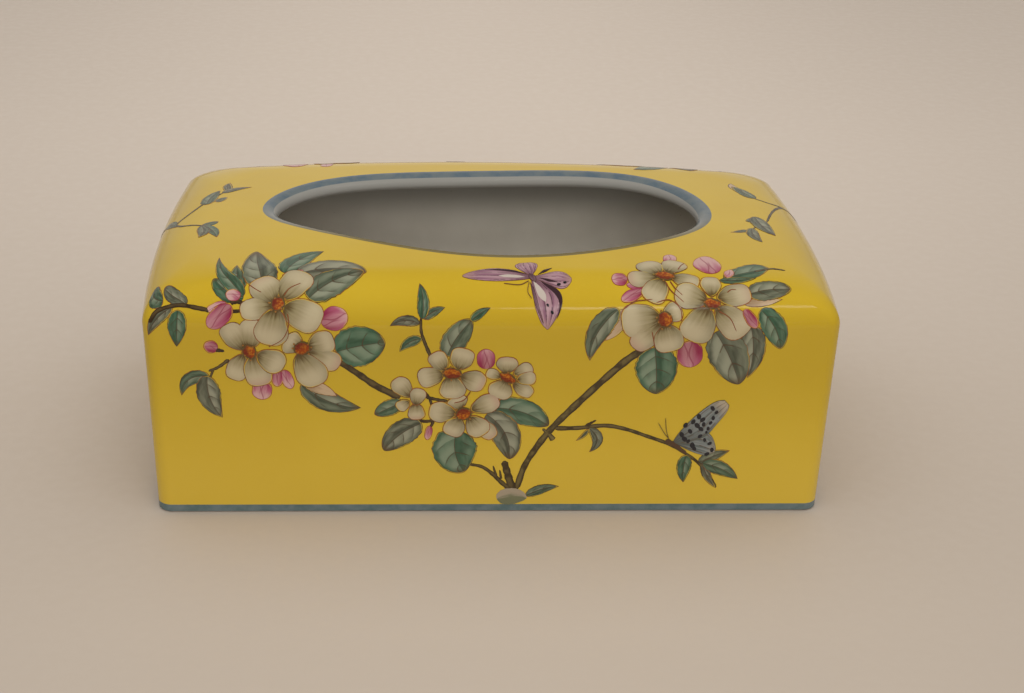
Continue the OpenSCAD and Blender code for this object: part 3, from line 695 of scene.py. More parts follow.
def leaf_enamel():
    """Leaf from teal to grey-green: a pale half, a dark half, a shaded fold at the rib and curved veins.

    Strokes of tone about 1.3 are the cream undersides of turned leaves, and about 1.6 the stone at the root.
    """
    tip_brown, red = (0.110, 0.050, 0.018), (0.220, 0.070, 0.018)
    cream, cream_shade = (0.48, 0.345, 0.215), (0.30, 0.20, 0.11)
    stone_shade, stone_light = (0.150, 0.155, 0.085), (0.330, 0.270, 0.190)
    leaf = Enamel("green_enamel", 0.17)
    along, side, tone = leaf.along, leaf.side, leaf.tone
    dark = tone.blend((0.018, 0.062, 0.030), (0.046, 0.046, 0.028))
    middle = tone.blend((0.056, 0.130, 0.075), (0.135, 0.138, 0.090))
    pale = tone.blend((0.185, 0.240, 0.160), (0.285, 0.280, 0.200))
    facing = side * (maths("SIGN", leaf.widest) * -1.0)
    across = abs(side)
    slant = along * (leaf.seed * 1.2 + 2.7) - across ** 1.4
    phase = maths("FRACT", slant + (side * 0.12 + 6.3))
    field = phase.ease(0.02, 0.75) * phase.ease(1.0, 0.92)
    inner = leaf.rim.ease(0.3, 2.8) * (field * 0.55 + 0.45)
    brushed = leaf.streaks(3.0, 3.0)
    leaf.fill = brushed.ease(0.32, 0.66).blend(dark, middle)
    leaf.lay(pale, inner * facing.ease(0.25, -0.15), 0.95)
    leaf.lay(pale, inner * facing.ease(0.05, 0.75), 0.42)
    leaf.lay(dark, facing.ease(0.45, 0.0) * facing.ease(-0.03, 0.02), 0.75)
    vein = abs(phase - 0.03).ease(0.06, 0.02) * across.ease(0.80, 0.50)
    leaf.lay(LINE_BROWN, vein * leaf.noise(5, 1).ease(0.38, 0.56), 0.75)
    rib = maths("LESS_THAN", across, 0.26 / abs(leaf.widest))
    leaf.lay(LINE_BROWN, rib * along.ease(0.92, 0.75), 0.8)
    leaf.lay(tip_brown, along.ease(0.80, 1.0), 0.55)
    underside = leaf.reach(brushed, 0.7).ease(0.7, 0.1).blend(cream, cream_shade)
    leaf.lay(underside, tone.ease(1.10, 1.25))
    leaf.outline(0.20, leaf.noise(9, 1).ease(0.44, 0.58).blend(LINE_BROWN, red))
    stone = (side + brushed).ease(0.25, 0.95).blend(stone_shade, stone_light)
    leaf.lay(stone, tone.ease(1.45, 1.55))
    return leaf.done(leaf.noise(1.5, 1), 0.03)


def bud_enamel():
    """Rose bud: deep crimson at the base, mauve and pale to the tip, with two drawn folds."""
    crimson, mauve, pale = (0.230, 0.014, 0.052), (0.360, 0.085, 0.145), (0.520, 0.300, 0.290)
    gleam, fold, red = (0.540, 0.330, 0.320), (0.200, 0.014, 0.045), (0.260, 0.040, 0.030)
    bud = Enamel("rose_enamel", 0.15)
    along, side = bud.along, bud.side
    reach = bud.reach(bud.streaks(1.5, 3.0), 0.7) + (bud.tone - 0.45)
    bud.fill = reach.ease(0.05, 0.65).blend(crimson, mauve)
    bud.lay(pale, reach.ease(0.55, 1.00))
    bud.lay(gleam, side.ease(0.7, -0.1) * side.ease(-0.95, -0.3), 0.40)
    bent = along * (1.0 - along) * 2.4
    first = abs(side + bent - 0.55).ease(0.10, 0.03)
    second = abs(side - bent + 0.75).ease(0.09, 0.03) * along.ease(0.75, 0.45)
    bud.lay(fold, maths("MAXIMUM", first, second), 0.6)
    bud.outline(0.20, red)
    return bud.done(bud.noise(1.5, 1), 0.03)


def heart_enamel():
    """Heart of a blossom: orange and iron-red grains, a torn edge, a darker side and paler anthers."""
    iron_red, orange, dark = (0.260, 0.046, 0.006), (0.430, 0.140, 0.012), (0.130, 0.016, 0.010)
    edge_brown, anther = (0.105, 0.064, 0.022), (0.330, 0.140, 0.025)
    heart = Enamel("red_enamel", 0.3, 0.25)
    heart.fill = heart.noise(0.8, 1).ease(0.42, 0.62).blend(iron_red, orange)
    heart.lay(dark, (heart.side + heart.noise(2.2, 1)).ease(0.20, 1.05), 0.85)
    heart.lay(edge_brown, (heart.rim - heart.noise(1.6, 2) * 1.7).ease(-0.10, -0.70))
    heart.lay(anther, heart.tone)
    return heart.done(heart.noise(0.7, 1), 0.10)


def twig_enamel():
    """Branch: brown-black edges and an olive light along its middle."""
    twig = Enamel("brown_enamel", 0.2)
    dark = twig.tone.blend((0.030, 0.016, 0.006), (0.055, 0.038, 0.012))
    light = twig.tone.blend((0.070, 0.042, 0.014), (0.165, 0.125, 0.040))
    middle = abs(twig.side - 0.12).ease(0.85, 0.25) * twig.noise(3.5, 2).ease(0.30, 0.55)
    twig.fill = middle.blend(dark, light)
    twig.lay((0.030, 0.015, 0.007), twig.rim.ease(0.25, 0.08))
    return twig.done(twig.noise(0.9, 2), 0.04)


def wing_enamel(name, dark, middle, pale, root, tip, line):
    """Insect wing: brushed field, deeper at its root and paler at its tip, with dark veins that fan out.

    Strokes of tone above 0.5 are the dark borders, about 1.3 the white patches, and above 1.5 the ink spots.
    """
    white, ink = (0.50, 0.43, 0.38), (0.012, 0.012, 0.016)
    wing = Enamel(name, 0.16)
    wing.fill = wing.streaks(1.6, 4.5).ease(0.34, 0.62).blend(middle, pale)
    wing.lay(root, wing.along.ease(0.60, 0.02), 0.75)
    wing.lay(tip, wing.along.ease(0.74, 0.97) * wing.tone.ease(-0.25, 0.28), 0.9)
    fan = maths("FRACT", wing.side * 1.9 + 10.0)
    wing.lay(dark, abs(fan - 0.5).ease(0.11, 0.04) * wing.noise(2.2, 1).ease(0.36, 0.52), 0.75)
    wing.outline(0.18, line, 0.0)
    wing.lay(dark, wing.tone.ease(0.4, 0.7))
    wing.lay(white, wing.tone.ease(1.1, 1.2))
    wing.lay(ink, wing.tone.ease(1.4, 1.5))
    return wing.done(wing.noise(1.2, 1), 0.03)


# Form of a blade: the base's power, then the tip's. A leaf wider than a share of its length is round
PETAL = (0.60, 0.36)
LEAF = (0.52, 0.92)
ROUND_LEAF = (0.42, 0.62)
BUD = (0.48, 0.50)
OVAL = (0.5, 0.5)
ROUND_LEAF_SHARE = 0.53

# Rows of the painting, in millimetres across from the middle of the wall and up from the foot.
# Leaves: base, tip, width, bend to the left, tone from teal to grey, layer, pale half: 1 left, -1 right
LEFT_LEAVES = [
    ((-119.5, 87.3), (-129.5, 87.8), 6.0, 0.4, 0.3, 0, 1),
    ((-111.2, 86.5), (-121, 90.9), 5.8, -0.8, 0.9, 0, -1),
    ((-116, 85.5), (-125, 74), 5.2, -1.5, 0.95, 0, 1),
    ((-114, 84.5), (-115, 70), 7.2, 0.0, 0.1, 1, 1),
    ((-92, 92), (-94.5, 106), 6.5, 0.5, 0.45, 0, 1),
    ((-91, 90), (-103, 107), 7.0, 0.4, 0.2, 1, 1),
    ((-91, 89), (-102, 98), 8.0, 1.5, 0.1, 0, -1),
    ((-84, 93), (-88.5, 114.5), 13.5, 0.0, 0.85, 2, 1),
    ((-76.5, 101), (-63.3, 118.3), 10.5, 2.5, 0.15, 1, -1),
    ((-71.5, 100.5), (-47.0, 101.3), 13.8, 3.2, 1.0, 2, 1),
    ((-67.5, 89), (-47.8, 102.0), 12.6, 1.6, 0.7, 3, -1),
    ((-57.8, 68.5), (-39.8, 72.6), 17.5, 0.6, 0.0, 1, -1),
    ((-70.5, 55.3), (-49, 45.4), 9.5, -2.5, 0.7, 1, 1),
    ((-69.6, 55.2), (-57.6, 50.2), 5.2, 0.6, 1.3, 2, 1),
    ((-103.8, 57.8), (-114.3, 50), 5.8, -3.5, 0.45, 0, 1),
    ((-104.5, 58.3), (-99.8, 41), 9.2, -2.0, 0.95, 1, 1),
]
MIDDLE_LEAVES = [
    ((-26.5, 82), (-27.5, 95.7), 4.8, -0.8, 0.2, 1, -1),
    ((-26, 82), (-18.2, 86.3), 3.8, 0.6, 0.5, 0, -1),
    ((-27.5, 80.2), (-38.2, 79.3), 4.4, -1.6, 1.0, 1, 1),
    ((-26.5, 74.3), (-34.7, 68.8), 4.6, -1.2, 0.2, 0, 1),
    ((-17.5, 67), (-8.5, 82), 10.0, 1.0, 0.6, 1, 1),
    ((-9, 81.3), (-1.8, 86.2), 3.5, 0.5, 0.2, 2, 1),
    ((-33.5, 48), (-44, 42.5), 7.2, 0.0, 0.3, 0, -1),
    ((-26.5, 38.8), (-40.5, 27), 10.8, -1.5, 0.9, 1, 1),
    ((-13.5, 36), (-10.5, 17.5), 17.5, -2.0, 0.1, 1, -1),
    ((0.5, 45.5), (20.7, 37.8), 11.5, 2.0, 0.15, 1, 1),
    ((-2.5, 42.8), (6.5, 23.3), 12.0, 3.0, 0.95, 2, 1),
    ((13.2, 7), (25.7, 11.2), 4.4, 1.0, 0.5, 1, 1),
    ((2.3, 5.4), (13.5, 6.0), 7.6, 1.2, 1.6, 2, 1),
]
RIGHT_LEAVES = [
    ((46.5, 86), (39.5, 73.5), 5.5, 1.5, 1.3, 0, 1),
    ((45, 85.8), (35, 65.3), 9.0, -3.0, 0.75, 1, 1),
    ((58.5, 70.8), (60.2, 51.3), 16.5, 0.5, 0.1, 1, -1),
    ((93.3, 79.5), (94.0, 58.0), 10.0, 1.5, 0.9, 1, -1),
    ((80.5, 77), (91, 55.3), 15.2, 1.0, 0.85, 2, -1),
    ((97, 85.5), (105.2, 69.8), 9.5, 1.5, 0.1, 0, -1),
    ((85.5, 98), (104, 103.3), 9.6, 2.6, 0.2, 0, 1),
    ((83, 98), (97, 99.6), 3.8, -0.5, 0.3, 1, 1),
    ((91, 88), (105.5, 89.6), 3.6, -0.3, 1.3, 1, 1),
    ((93, 91.5), (109.3, 93.8), 9.2, 1.0, 0.9, 2, 1),
    ((36, 36.8), (36.5, 26.3), 4.6, 3.2, 0.9, 1, 1),
    ((36, 36.5), (31.3, 31.3), 2.0, 0.5, 0.6, 1, 1),
    ((73.8, 25), (73.2, 12.9), 6.0, -0.6, 0.15, 1, 1),
    ((78.5, 21.5), (90.0, 26.8), 5.2, 0.5, 0.8, 0, 1),
    ((80, 21.5), (94.0, 14.4), 6.6, 1.0, 0.35, 2, 1),
    ((80, 21.5), (86, 10.3), 3.6, -0.8, 1.0, 1, 1),
]
# Petals: base, tip, width, layer
LEFT_PETALS = [
    ((-70.0, 70), (-76.2, 73.6), 9.6, 3),
    ((-68, 71), (-58.3, 73.5), 9.8, 3),
    ((-68, 68.5), (-56.3, 63.3), 8.8, 3),
    ((-71.5, 68), (-64, 54.8), 12.0, 4),
    ((-88.5, 69.5), (-87.5, 81.5), 9.0, 3),
    ((-91, 69), (-97, 79.3), 9.2, 3),
    ((-91, 67.5), (-95.3, 56.7), 8.4, 3),
    ((-88, 67.5), (-85, 54.3), 10.4, 4),
    ((-86.5, 67.5), (-76.5, 62.5), 10.0, 5),
    ((-80, 86.5), (-92, 84), 8.4, 4),
    ((-79.5, 87.5), (-86.2, 97.8), 11.6, 4),
    ((-77.5, 88.5), (-69, 101.3), 12.0, 4),
    ((-76.5, 86.5), (-63, 80), 12.6, 4),
    ((-79, 85.5), (-82, 71), 12.4, 5),
]
MIDDLE_PETALS = [
    ((-30.5, 50), (-36.5, 57.7), 7.4, 3),
    ((-31, 48.5), (-35.7, 45), 5.0, 3),
    ((-28.8, 47.5), (-28.3, 40.3), 6.6, 3),
    ((-29, 46.5), (-27.3, 53.8), 6.2, 4),
    ((-18.5, 60), (-28, 57.3), 8.6, 4),
    ((-18, 61), (-22.3, 68.7), 7.4, 4),
    ((-13.5, 61.3), (-10.8, 70.5), 9.2, 4),
    ((-12.5, 59), (-3.2, 55.3), 8.8, 4),
    ((-15.8, 59), (-14.8, 49.3), 9.9, 5),
    ((2.5, 58.5), (-3, 60.8), 4.7, 3),
    ((4.5, 60), (4.8, 67), 8.2, 3),
    ((7, 59.5), (14, 63), 5.8, 3),
    ((8, 57.5), (15.5, 58.3), 5.8, 4),
    ((7, 56), (14.3, 51), 6.0, 3),
    ((4.5, 57.3), (0.8, 49.8), 9.4, 5),
    ((-6, 40.5), (0.5, 32.5), 6.8, 3),
    ((-12, 45), (-14.5, 50.3), 8.2, 3),
    ((-13.5, 43), (-24, 44.2), 8.9, 4),
    ((-12.5, 41.5), (-16, 33.5), 8.4, 4),
    ((-9, 42), (-3.3, 33.8), 9.0, 5),
    ((-8.5, 44.5), (2, 49.3), 8.0, 5),
]
RIGHT_PETALS = [
    ((61, 101), (56, 110.5), 10.4, 3),
    ((64, 102), (69.5, 111.5), 9.8, 3),
    ((60.5, 99.5), (49, 98.3), 8.8, 3),
    ((65, 99.5), (75.5, 96.5), 7.8, 3),
    ((62, 98.5), (56.3, 88.5), 9.8, 4),
    ((61, 83), (68, 86), 7.8, 4),
    ((60.5, 83), (45.8, 80.5), 13.0, 4),
    ((60.5, 81), (50.8, 70.5), 9.4, 4),
    ((62, 80.5), (64.8, 69), 11.4, 5),
    ((79.5, 90.5), (79.5, 99.8), 7.9, 4),
    ((81, 90), (94, 92.5), 9.4, 4),
    ((77.5, 88.5), (66, 93), 10.8, 5),
    ((80.5, 86.5), (91.8, 76), 12.0, 4),
    ((78, 86.5), (71.3, 73.5), 13.0, 5),
]
# Fold lines drawn on the petals
FOLD_W = 0.42
LEFT_FOLDS = [
    ((-89.2, 94.6), (-86.6, 92.6), (-84.6, 91.4)),
    ((-76.4, 90.2), (-74.4, 93.2), (-70.6, 95.4)),
    ((-74.9, 83.5), (-74.6, 79), (-77, 73.6), (-82, 70.4)),
]
MIDDLE_FOLDS = [
    ((-8.6, 52.4), (-11, 48.9), (-14.6, 47.6)),
]
RIGHT_FOLDS = [
    ((85.2, 92.2), (86.8, 93.4), (88.6, 93.4)),
    ((81.6, 85), (85.6, 82.4), (88.2, 77.4)),
    ((62.8, 96.4), (64.8, 92.6), (69, 88.2)),
    ((64.6, 97.2), (66.2, 93.8), (68.6, 91)),
    ((46.8, 85.8), (51, 88.6), (57.4, 89.4)),
    ((58.8, 88.2), (63.6, 89.2), (67.4, 86), (68, 81)),
    ((57.2, 77.4), (58, 73.8), (58.6, 70.4)),
    ((68.4, 104.4), (70, 107.8), (71.4, 109.6)),
]
# Hearts: middle, length, width, turn
LEFT_HEARTS = [
    ((-78.5, 87), 5.6, 5.2, 60),
    ((-89, 68.5), 6.0, 5.0, 110),
    ((-70, 70), 6.4, 5.6, 20),
]
MIDDLE_HEARTS = [
    ((-15.5, 60), 7.4, 4.8, 175),
    ((5, 58.2), 7.0, 4.0, 150),
    ((-11, 43), 6.2, 5.4, 20),
]
RIGHT_HEARTS = [
    ((63, 100.2), 7.8, 5.0, 170),
    ((79.3, 87.8), 6.6, 4.2, 170),
    ((61.8, 82), 6.2, 5.8, 100),
]
# Buds: base, tip, width, tone from crimson to pale, layer
LEFT_BUDS = [
    ((-97, 87.3), (-104, 84.3), 3.4, 0.9, 1),
    ((-95.3, 86.5), (-103.3, 77.8), 7.4, 0.3, 2),
    ((-92, 89.5), (-97.3, 91.3), 4.8, 0.8, 2),
    ((-100.3, 69.3), (-105.3, 71), 5.2, 0.2, 1),
    ((-63, 80.5), (-53.3, 83.2), 9.2, 0.4, 2),
    ((-77.5, 99.3), (-70, 102.6), 2.6, 0.1, 3),
    ((-84.5, 56.5), (-85.5, 48.6), 7.6, 0.6, 2),
    ((-77, 61), (-74.3, 53.2), 4.6, 0.7, 2),
    ((-78.8, 61.5), (-79.5, 54), 4.6, 0.3, 2),
]
MIDDLE_BUDS = [
    ((-3, 61.8), (-3.3, 70.2), 7.0, 0.3, 2),
    ((-23.5, 37.8), (-24.5, 31.6), 3.0, 0.5, 1),
]
RIGHT_BUDS = [
    ((49, 98.3), (43, 98.5), 6.8, 0.5, 2),
    ((54.5, 94.6), (48.3, 95.6), 3.4, 0.3, 2),
    ((54.5, 93.3), (46, 89), 4.8, 0.35, 2),
    ((66, 110.3), (67.2, 117.4), 5.4, 0.85, 1),
    ((86, 99.5), (88.5, 105.3), 3.7, 0.9, 1),
    ((81, 102), (79, 115.5), 10.4, 0.75, 2),
    ((71, 73.5), (72.5, 62.5), 10.0, 0.15, 2),
    ((91, 85.6), (95.7, 78.6), 4.4, 0.1, 5),
]
# Twigs: the places they run through, first width, last width, tone from dark brown to olive
LEFT_TWIGS = [
    (((-124.3, 79.3), (-121, 84), (-114, 86.2), (-107, 85.2), (-102.5, 84.3)), 1.6, 1.8, 0.1),
    (((-96, 84), (-91, 84.4)), 1.5, 1.3, 0.1),
    (((-95.5, 87.6), (-93.5, 88.0), (-91, 87.2)), 2.8, 1.4, 0.0),
    (((-104, 60.2), (-100.5, 61.8), (-96.5, 65)), 1.0, 1.4, 0.3),
    (((-103.8, 57), (-102.3, 60.8)), 0.8, 1.0, 0.3),
    (((-101.3, 68.9), (-98, 68.4)), 2.0, 0.9, 0.0),
    (((-57, 64.8), (-50, 59.6), (-43, 54.3), (-34.5, 49.8)), 2.3, 3.1, 0.3),
]
MIDDLE_TWIGS = [
    (((-23.3, 66.8), (-25.3, 72), (-26.8, 77), (-27, 82.5)), 1.5, 1.0, 0.2),
    (((-17, 48.4), (-21, 49), (-25, 50)), 1.1, 1.5, 0.2),
    (((-25.6, 52.3), (-24, 50), (-22.8, 46.5)), 0.9, 1.2, 0.1),
    (((-27.5, 40), (-25, 39.6), (-22, 40)), 1.5, 1.3, 0.0),
    (((-22.2, 39.8), (-23.2, 37.2)), 1.4, 1.0, 0.0),
    (((9.6, 10), (12.3, 20), (17, 29), (22.3, 36.9), (29.7, 45.5), (39.6, 56.3), (48.7, 65.5), (54.5, 69.8)),
     2.4, 3.2, 0.65),
    (((12.2, 19), (13.5, 24)), 2.2, 0.6, 0.2),
    (((18.6, 36.5), (21.2, 33.8), (22.8, 31.6)), 1.0, 2.6, 1.2),
    (((8.2, 9.6), (6.3, 16), (4.6, 22.5)), 3.4, 2.6, 0.4),
    (((-8.6, 21), (-4, 20), (0, 17), (3.5, 13.2), (7, 10)), 1.2, 2.0, 0.35),
    (((0.4, 20.4), (1.8, 15.6)), 0.6, 1.2, 0.2),
    (((3.0, 18.5), (3.6, 14.5)), 0.6, 1.2, 0.2),
]
RIGHT_TWIGS = [
    (((23, 36.6), (32, 36.8), (42, 37.8), (50, 36.2), (58, 33.2), (66, 30), (72, 26.4), (78, 21.8),
      (82.5, 16.5), (86, 10.8)),
     2.0, 1.0, 0.5),
    (((34.6, 37.6), (38.6, 40.2)), 1.4, 0.7, 0.2),
    (((97, 103.4), (104, 103), (110.5, 100.4)), 0.8, 0.4, 0.9),
]
# Wings: base, tip, half widths to the left and to the right at shares of the length, tone, layer
BUTTERFLY = [
    ((13.6, 99.5), (12, 108.9), ((0, 0), (0.3, 2.6), (0.7, 4.9), (0.9, 4.4), (1, 2.2)),
     ((0, 0), (0.3, 2.2), (0.7, 4.0), (0.9, 3.8), (1, 1.8)), 0.1, 1),
    ((13.6, 98.8), (28.3, 97.9),
     ((0, 0.6), (0.1, 1.1), (0.28, 2.2), (0.5, 3.9), (0.68, 4.6), (0.86, 3.6), (1, 0.6)),
     ((0, 0.6), (0.1, 1.1), (0.28, 1.9), (0.5, 3.6), (0.73, 4.9), (0.9, 3.9), (1, 0.6)), 0.1, 1),
    ((13.4, 98.8), (-11.8, 99.3),
     ((0, 0.5), (0.1, 1.2), (0.3, 1.9), (0.52, 2.3), (0.75, 2.0), (0.9, 1.4), (1, 0.3)),
     ((0, 0.8), (0.1, 2.4), (0.3, 4.7), (0.5, 5.4), (0.65, 4.9), (0.8, 3.5), (0.93, 2.0), (1, 0.4)), 0.1, 2),
    ((13.7, 97.8), (19, 78.2),
     ((0, 0.3), (0.06, 2.6), (0.19, 5.7), (0.31, 7.7), (0.42, 8.5), (0.57, 8.0), (0.71, 6.4), (0.84, 4.1),
      (1, 0.2)),
     ((0, 0.3), (0.2, 1.4), (0.56, 2.4), (0.86, 1.8), (1, 0.2)), 0.1, 2),
    ((16.8, 96.8), (22.3, 82.4),
     ((0, 0), (0.19, 2.7), (0.35, 4.5), (0.50, 5.1), (0.69, 4.3), (0.85, 2.4), (1, 0.1)),
     ((0, 0), (0.12, -0.5), (0.27, -1.6), (0.44, -2.8), (0.60, -3.2), (0.70, -3.0), (0.84, -1.7), (1, 0)),
     1.0, 3),
    ((12.9, 96.6), (17.6, 80.5), ((0, 0), (0.28, 0.5), (0.58, 0.1), (1, 0)),
     ((0, 0), (0.28, 0.8), (0.58, 1.2), (0.92, 0.5), (1, 0)), 0.55, 3),
    ((11.8, 100.3), (-3.5, 103.2), ((0, 0), (0.3, -0.5), (0.7, -0.4), (1, 0)),
     ((0, 0), (0.3, 1.9), (0.7, 1.6), (1, 0.1)), 1.0, 3),
    ((11.2, 98.9), (1.5, 99.6), ((0, 0), (0.3, 0.6), (0.8, 0.7), (1, 0)),
     ((0, 0), (0.3, 0.8), (0.7, 0.9), (1, 0)), 1.25, 4),
    ((14.1, 96.9), (18.3, 88.4), ((0, 0), (0.3, 0.9), (0.65, 1.5), (0.85, 1.1), (1, 0)),
     ((0, 0), (0.3, 0.8), (0.65, 1.4), (0.85, 0.9), (1, 0)), 1.3, 4),
    ((12.8, 100.9), (15.0, 96.2), ((0, 0), (0.3, 1.4), (0.7, 1.1), (1, 0)),
     ((0, 0), (0.3, 1.3), (0.7, 1.0), (1, 0)), 0.58, 5),
    ((16.4, 98.6), (23.4, 96.4), ((0, 0), (0.4, 0.5), (1, 0)), ((0, 0), (0.5, 0.9), (1, 0)), 0.75, 3),
    ((16, 100.4), (21.5, 104.8), ((0, 0), (0.5, 0.9), (1, 0)), ((0, 0), (0.5, 0.6), (1, 0)), 0.8, 3),
]
BUTTERFLY_FEELERS = [
    (((12.4, 97.0), (9.0, 95.2), (3.3, 95.8)), 0.20, 0.14, 0.3),
    (((12.6, 96.6), (11.9, 92.4), (13.2, 89.7)), 0.20, 0.14, 0.3),
]
# Spots: place, size, turn
BUTTERFLY_SPOTS = [
    ((23.4, 95.4), 1.5, 15), ((25.7, 96.3), 1.3, 20), ((19.0, 87.2), 1.2, 125), ((20.6, 84.6), 1.4, 120),
]
# Spotted moth on the branch
MOTH = [
    ((69, 30), (84.4, 27),
     ((0, 0), (0.15, 3.6), (0.4, 6.9), (0.62, 7.6), (0.80, 6.2), (0.92, 3.6), (1, 0.8)),
     ((0, 0), (0.3, 1.6), (0.55, 2.7), (0.82, 3.0), (1, 0.8)), 0.0, 3),
    ((67.8, 29.8), (87.4, 47.4),
     ((0, 0), (0.1, 1.5), (0.3, 2.9), (0.55, 3.9), (0.75, 4.0), (0.9, 3.6), (1, 1.6)),
     ((0, 0), (0.2, 3.4), (0.43, 6.4), (0.53, 5.6), (0.68, 4.4), (0.84, 3.5), (0.95, 2.4), (1, 1.0)),
     0.3, 4),
]
MOTH_BODY = (((65.2, 31.4), (68.5, 29.6), (73.5, 25.6)), 2.2, 1.3, 1.0)
MOTH_SPOTS = [
    ((82, 45.2), 2.2, 120), ((83.5, 43.5), 1.8, 60), ((82.5, 41.1), 1.9, 90), ((81.7, 39), 1.7, 60),
    ((80.9, 36.6), 1.7, 80), ((80.4, 35), 1.3, 90), ((80, 31.6), 1.7, 100), ((82, 30.1), 1.8, 30),
    ((83.1, 27.3), 2.0, 90), ((81.3, 25.5), 2.0, 30), ((77.1, 41.7), 2.4, 100), ((78.6, 40.4), 2.4, 45),
    ((75.1, 39.5), 2.3, 70), ((76.7, 37.9), 2.6, 130), ((78.2, 36.4), 2.3, 140), ((79.1, 38.4), 2.0, 90),
    ((72.3, 38), 2.2, 60), ((74.2, 35.4), 2.2, 120), ((71.1, 34), 2.4, 110), ((72.3, 32.1), 2.6, 130),
    ((73.8, 31.1), 1.8, 60), ((78.1, 33.3), 2.0, 40), ((75.5, 29.3), 2.6, 100), ((76.3, 27.9), 2.0, 120),
]
MOTH_FEELERS = [
    (((66.6, 32), (64.6, 34.5), (62, 39)), 0.26, 0.18, 0.6),
    (((66.2, 32.6), (65.2, 36), (64.6, 41)), 0.26, 0.18, 0.6),
]

# Sprigs of the ends, with one blossom on each
LEFT_END_TWIGS = [
    (((6, 18), (3, 40), (-3, 62), (-8, 78), (-6, 86), (0, 91.5)), 1.8, 1.3, 0.5),
    (((0, 91.5), (5, 95), (8, 100), (10.5, 104)), 1.2, 0.9, 0.5),
    (((0, 91.5), (-7, 97), (-15, 101.5), (-24, 106.5), (-30, 110)), 1.2, 0.7, 0.5),
]
LEFT_END_LEAVES = [
    ((-13, 102.5), (-28, 105.5), 6.8, 1.0, 0.5, 1, 1),
    ((-15, 106), (-20, 109.5), 4.0, 0.0, 0.8, 0, -1),
    ((-25, 107), (-30.5, 114.5), 4.2, 0.5, 1.0, 1, 1),
    ((-27, 109), (-37, 106.8), 3.6, 0.5, 1.0, 0, 1),
    ((10.5, 103.5), (6.5, 109.5), 4.0, 0.0, 0.5, 0, -1),
    ((10, 104), (22.5, 109.5), 5.2, 1.2, 0.3, 1, 1),
    ((10.5, 103), (22, 102.8), 5.4, 1.5, 0.9, 2, -1),
    ((-8, 86), (3, 92.5), 4.6, 0.8, 0.6, 1, 1),
    ((1.5, 62), (13, 71), 6.5, 0.6, 0.1, 1, -1),
    ((-2, 52), (-14.5, 59), 6.8, -0.6, 0.8, 1, 1),
    ((5, 30), (17, 38), 6.2, 0.6, 0.2, 1, -1),
]
RIGHT_END_TWIGS = [
    (((2, 18), (5, 40), (12, 62), (20, 78), (25, 86), (24, 91.5), (18, 96), (9, 100.3), (-2, 104.2)),
     1.8, 0.9, 0.5),
    (((24.5, 91), (22, 98), (24, 104)), 1.0, 0.7, 0.5),
    (((-2, 104.2), (-8, 109.5), (-13, 112.5)), 0.9, 0.7, 0.5),
]
RIGHT_END_LEAVES = [
    ((2.5, 108.5), (-16.5, 103), 7.6, -1.2, 0.85, 2, 1),
    ((1, 107), (-2.8, 113), 4.6, 0.4, 0.6, 1, -1),
    ((-10, 111.5), (-24, 109), 5.2, -1.5, 0.9, 1, 1),
    ((-12.5, 113), (-15.5, 120), 3.2, 0.0, 0.9, 0, 1),
    ((24, 103.5), (37, 108.2), 6.0, 0.8, 0.5, 1, -1),
    ((29, 107.5), (41, 106.8), 3.0, 1.0, 1.3, 0, 1),
    ((9, 60), (-3, 68), 6.5, -0.6, 0.1, 1, -1),
    ((8, 48), (19, 55), 6.5, 0.6, 0.8, 1, 1),
    ((1, 30), (-10, 37), 6.2, -0.6, 0.3, 1, -1),
]
END_PETAL_BASE = 1.5
END_PETAL_REACH = 11.0
END_PETAL_W = 10.0
END_HEART = (5.8, 5.4, 30)
LEFT_END_BLOSSOM = (21.6, 58.2)
RIGHT_END_BLOSSOM = (-18, 55)

# Layers from the yellow up, tones, anthers of a heart
TWIG_LAYER = 1
BLOSSOM_LAYER = 3
DRAWN_LAYER = 6
HEART_LAYER = 7
ANTHER_TONE = 0.7
DRAWN_TONE = 2.0
ANTHERS = 7


def paint_leaves(painting, wall, rows):
    """Toothed leaves, of which the wide ones are round."""
    for base, tip, width, bend, tone, layer, pale in rows:
        form = ROUND_LEAF if width > ROUND_LEAF_SHARE * math.dist(base, tip) else LEAF
        painting.blade(wall, base, tip, width, form, LEAF_STEPS, layer, tone, bend, LEAF_TEETH, pale)


def paint_petals(painting, wall, rows):
    """Blunt petals with a wavy edge."""
    for base, tip, width, layer in rows:
        painting.blade(wall, base, tip, width, PETAL, PETAL_STEPS, layer)


def paint_buds(painting, wall, rows):
    """Buds, widest at their middle."""
    for base, tip, width, tone, layer in rows:
        painting.blade(wall, base, tip, width, BUD, BUD_STEPS, layer, tone)


def paint_hearts(painting, wall, rows):
    """Hearts, each with small anthers on a spiral of golden angles at its edge."""
    count = np.arange(ANTHERS)
    for place, length, width, turn in rows:
        painting.spot(wall, place, length, width, turn, HEART_LAYER)
        along = direction(turn)
        aside = np.array([-along[1], along[0]])
        for angle, far in zip(np.radians(GOLDEN_ANGLE * count + turn), 0.44 + 0.09 * np.sqrt(count % 4)):
            spot = place + along * length * far * math.cos(angle) + aside * width * far * math.sin(angle)
            painting.spot(wall, spot, 0.75, 0.6, math.degrees(angle), HEART_LAYER + 1, ANTHER_TONE)


def paint_twigs(painting, wall, rows, layer=TWIG_LAYER):
    """Tapered twigs, each through the places of its row."""
    for row in rows:
        painting.twig(wall, *row, layer)


def paint_feelers(painting, wall, rows):
    """Thin strokes that lie on top of what they cross."""
    paint_twigs(painting, wall, rows, DRAWN_LAYER)


def paint_folds(painting, wall, rows):
    """Drawn lines on the petals: folds, turned edges and double outlines."""
    paint_feelers(painting, wall, [(places, FOLD_W, FOLD_W * 0.7, DRAWN_TONE) for places in rows])


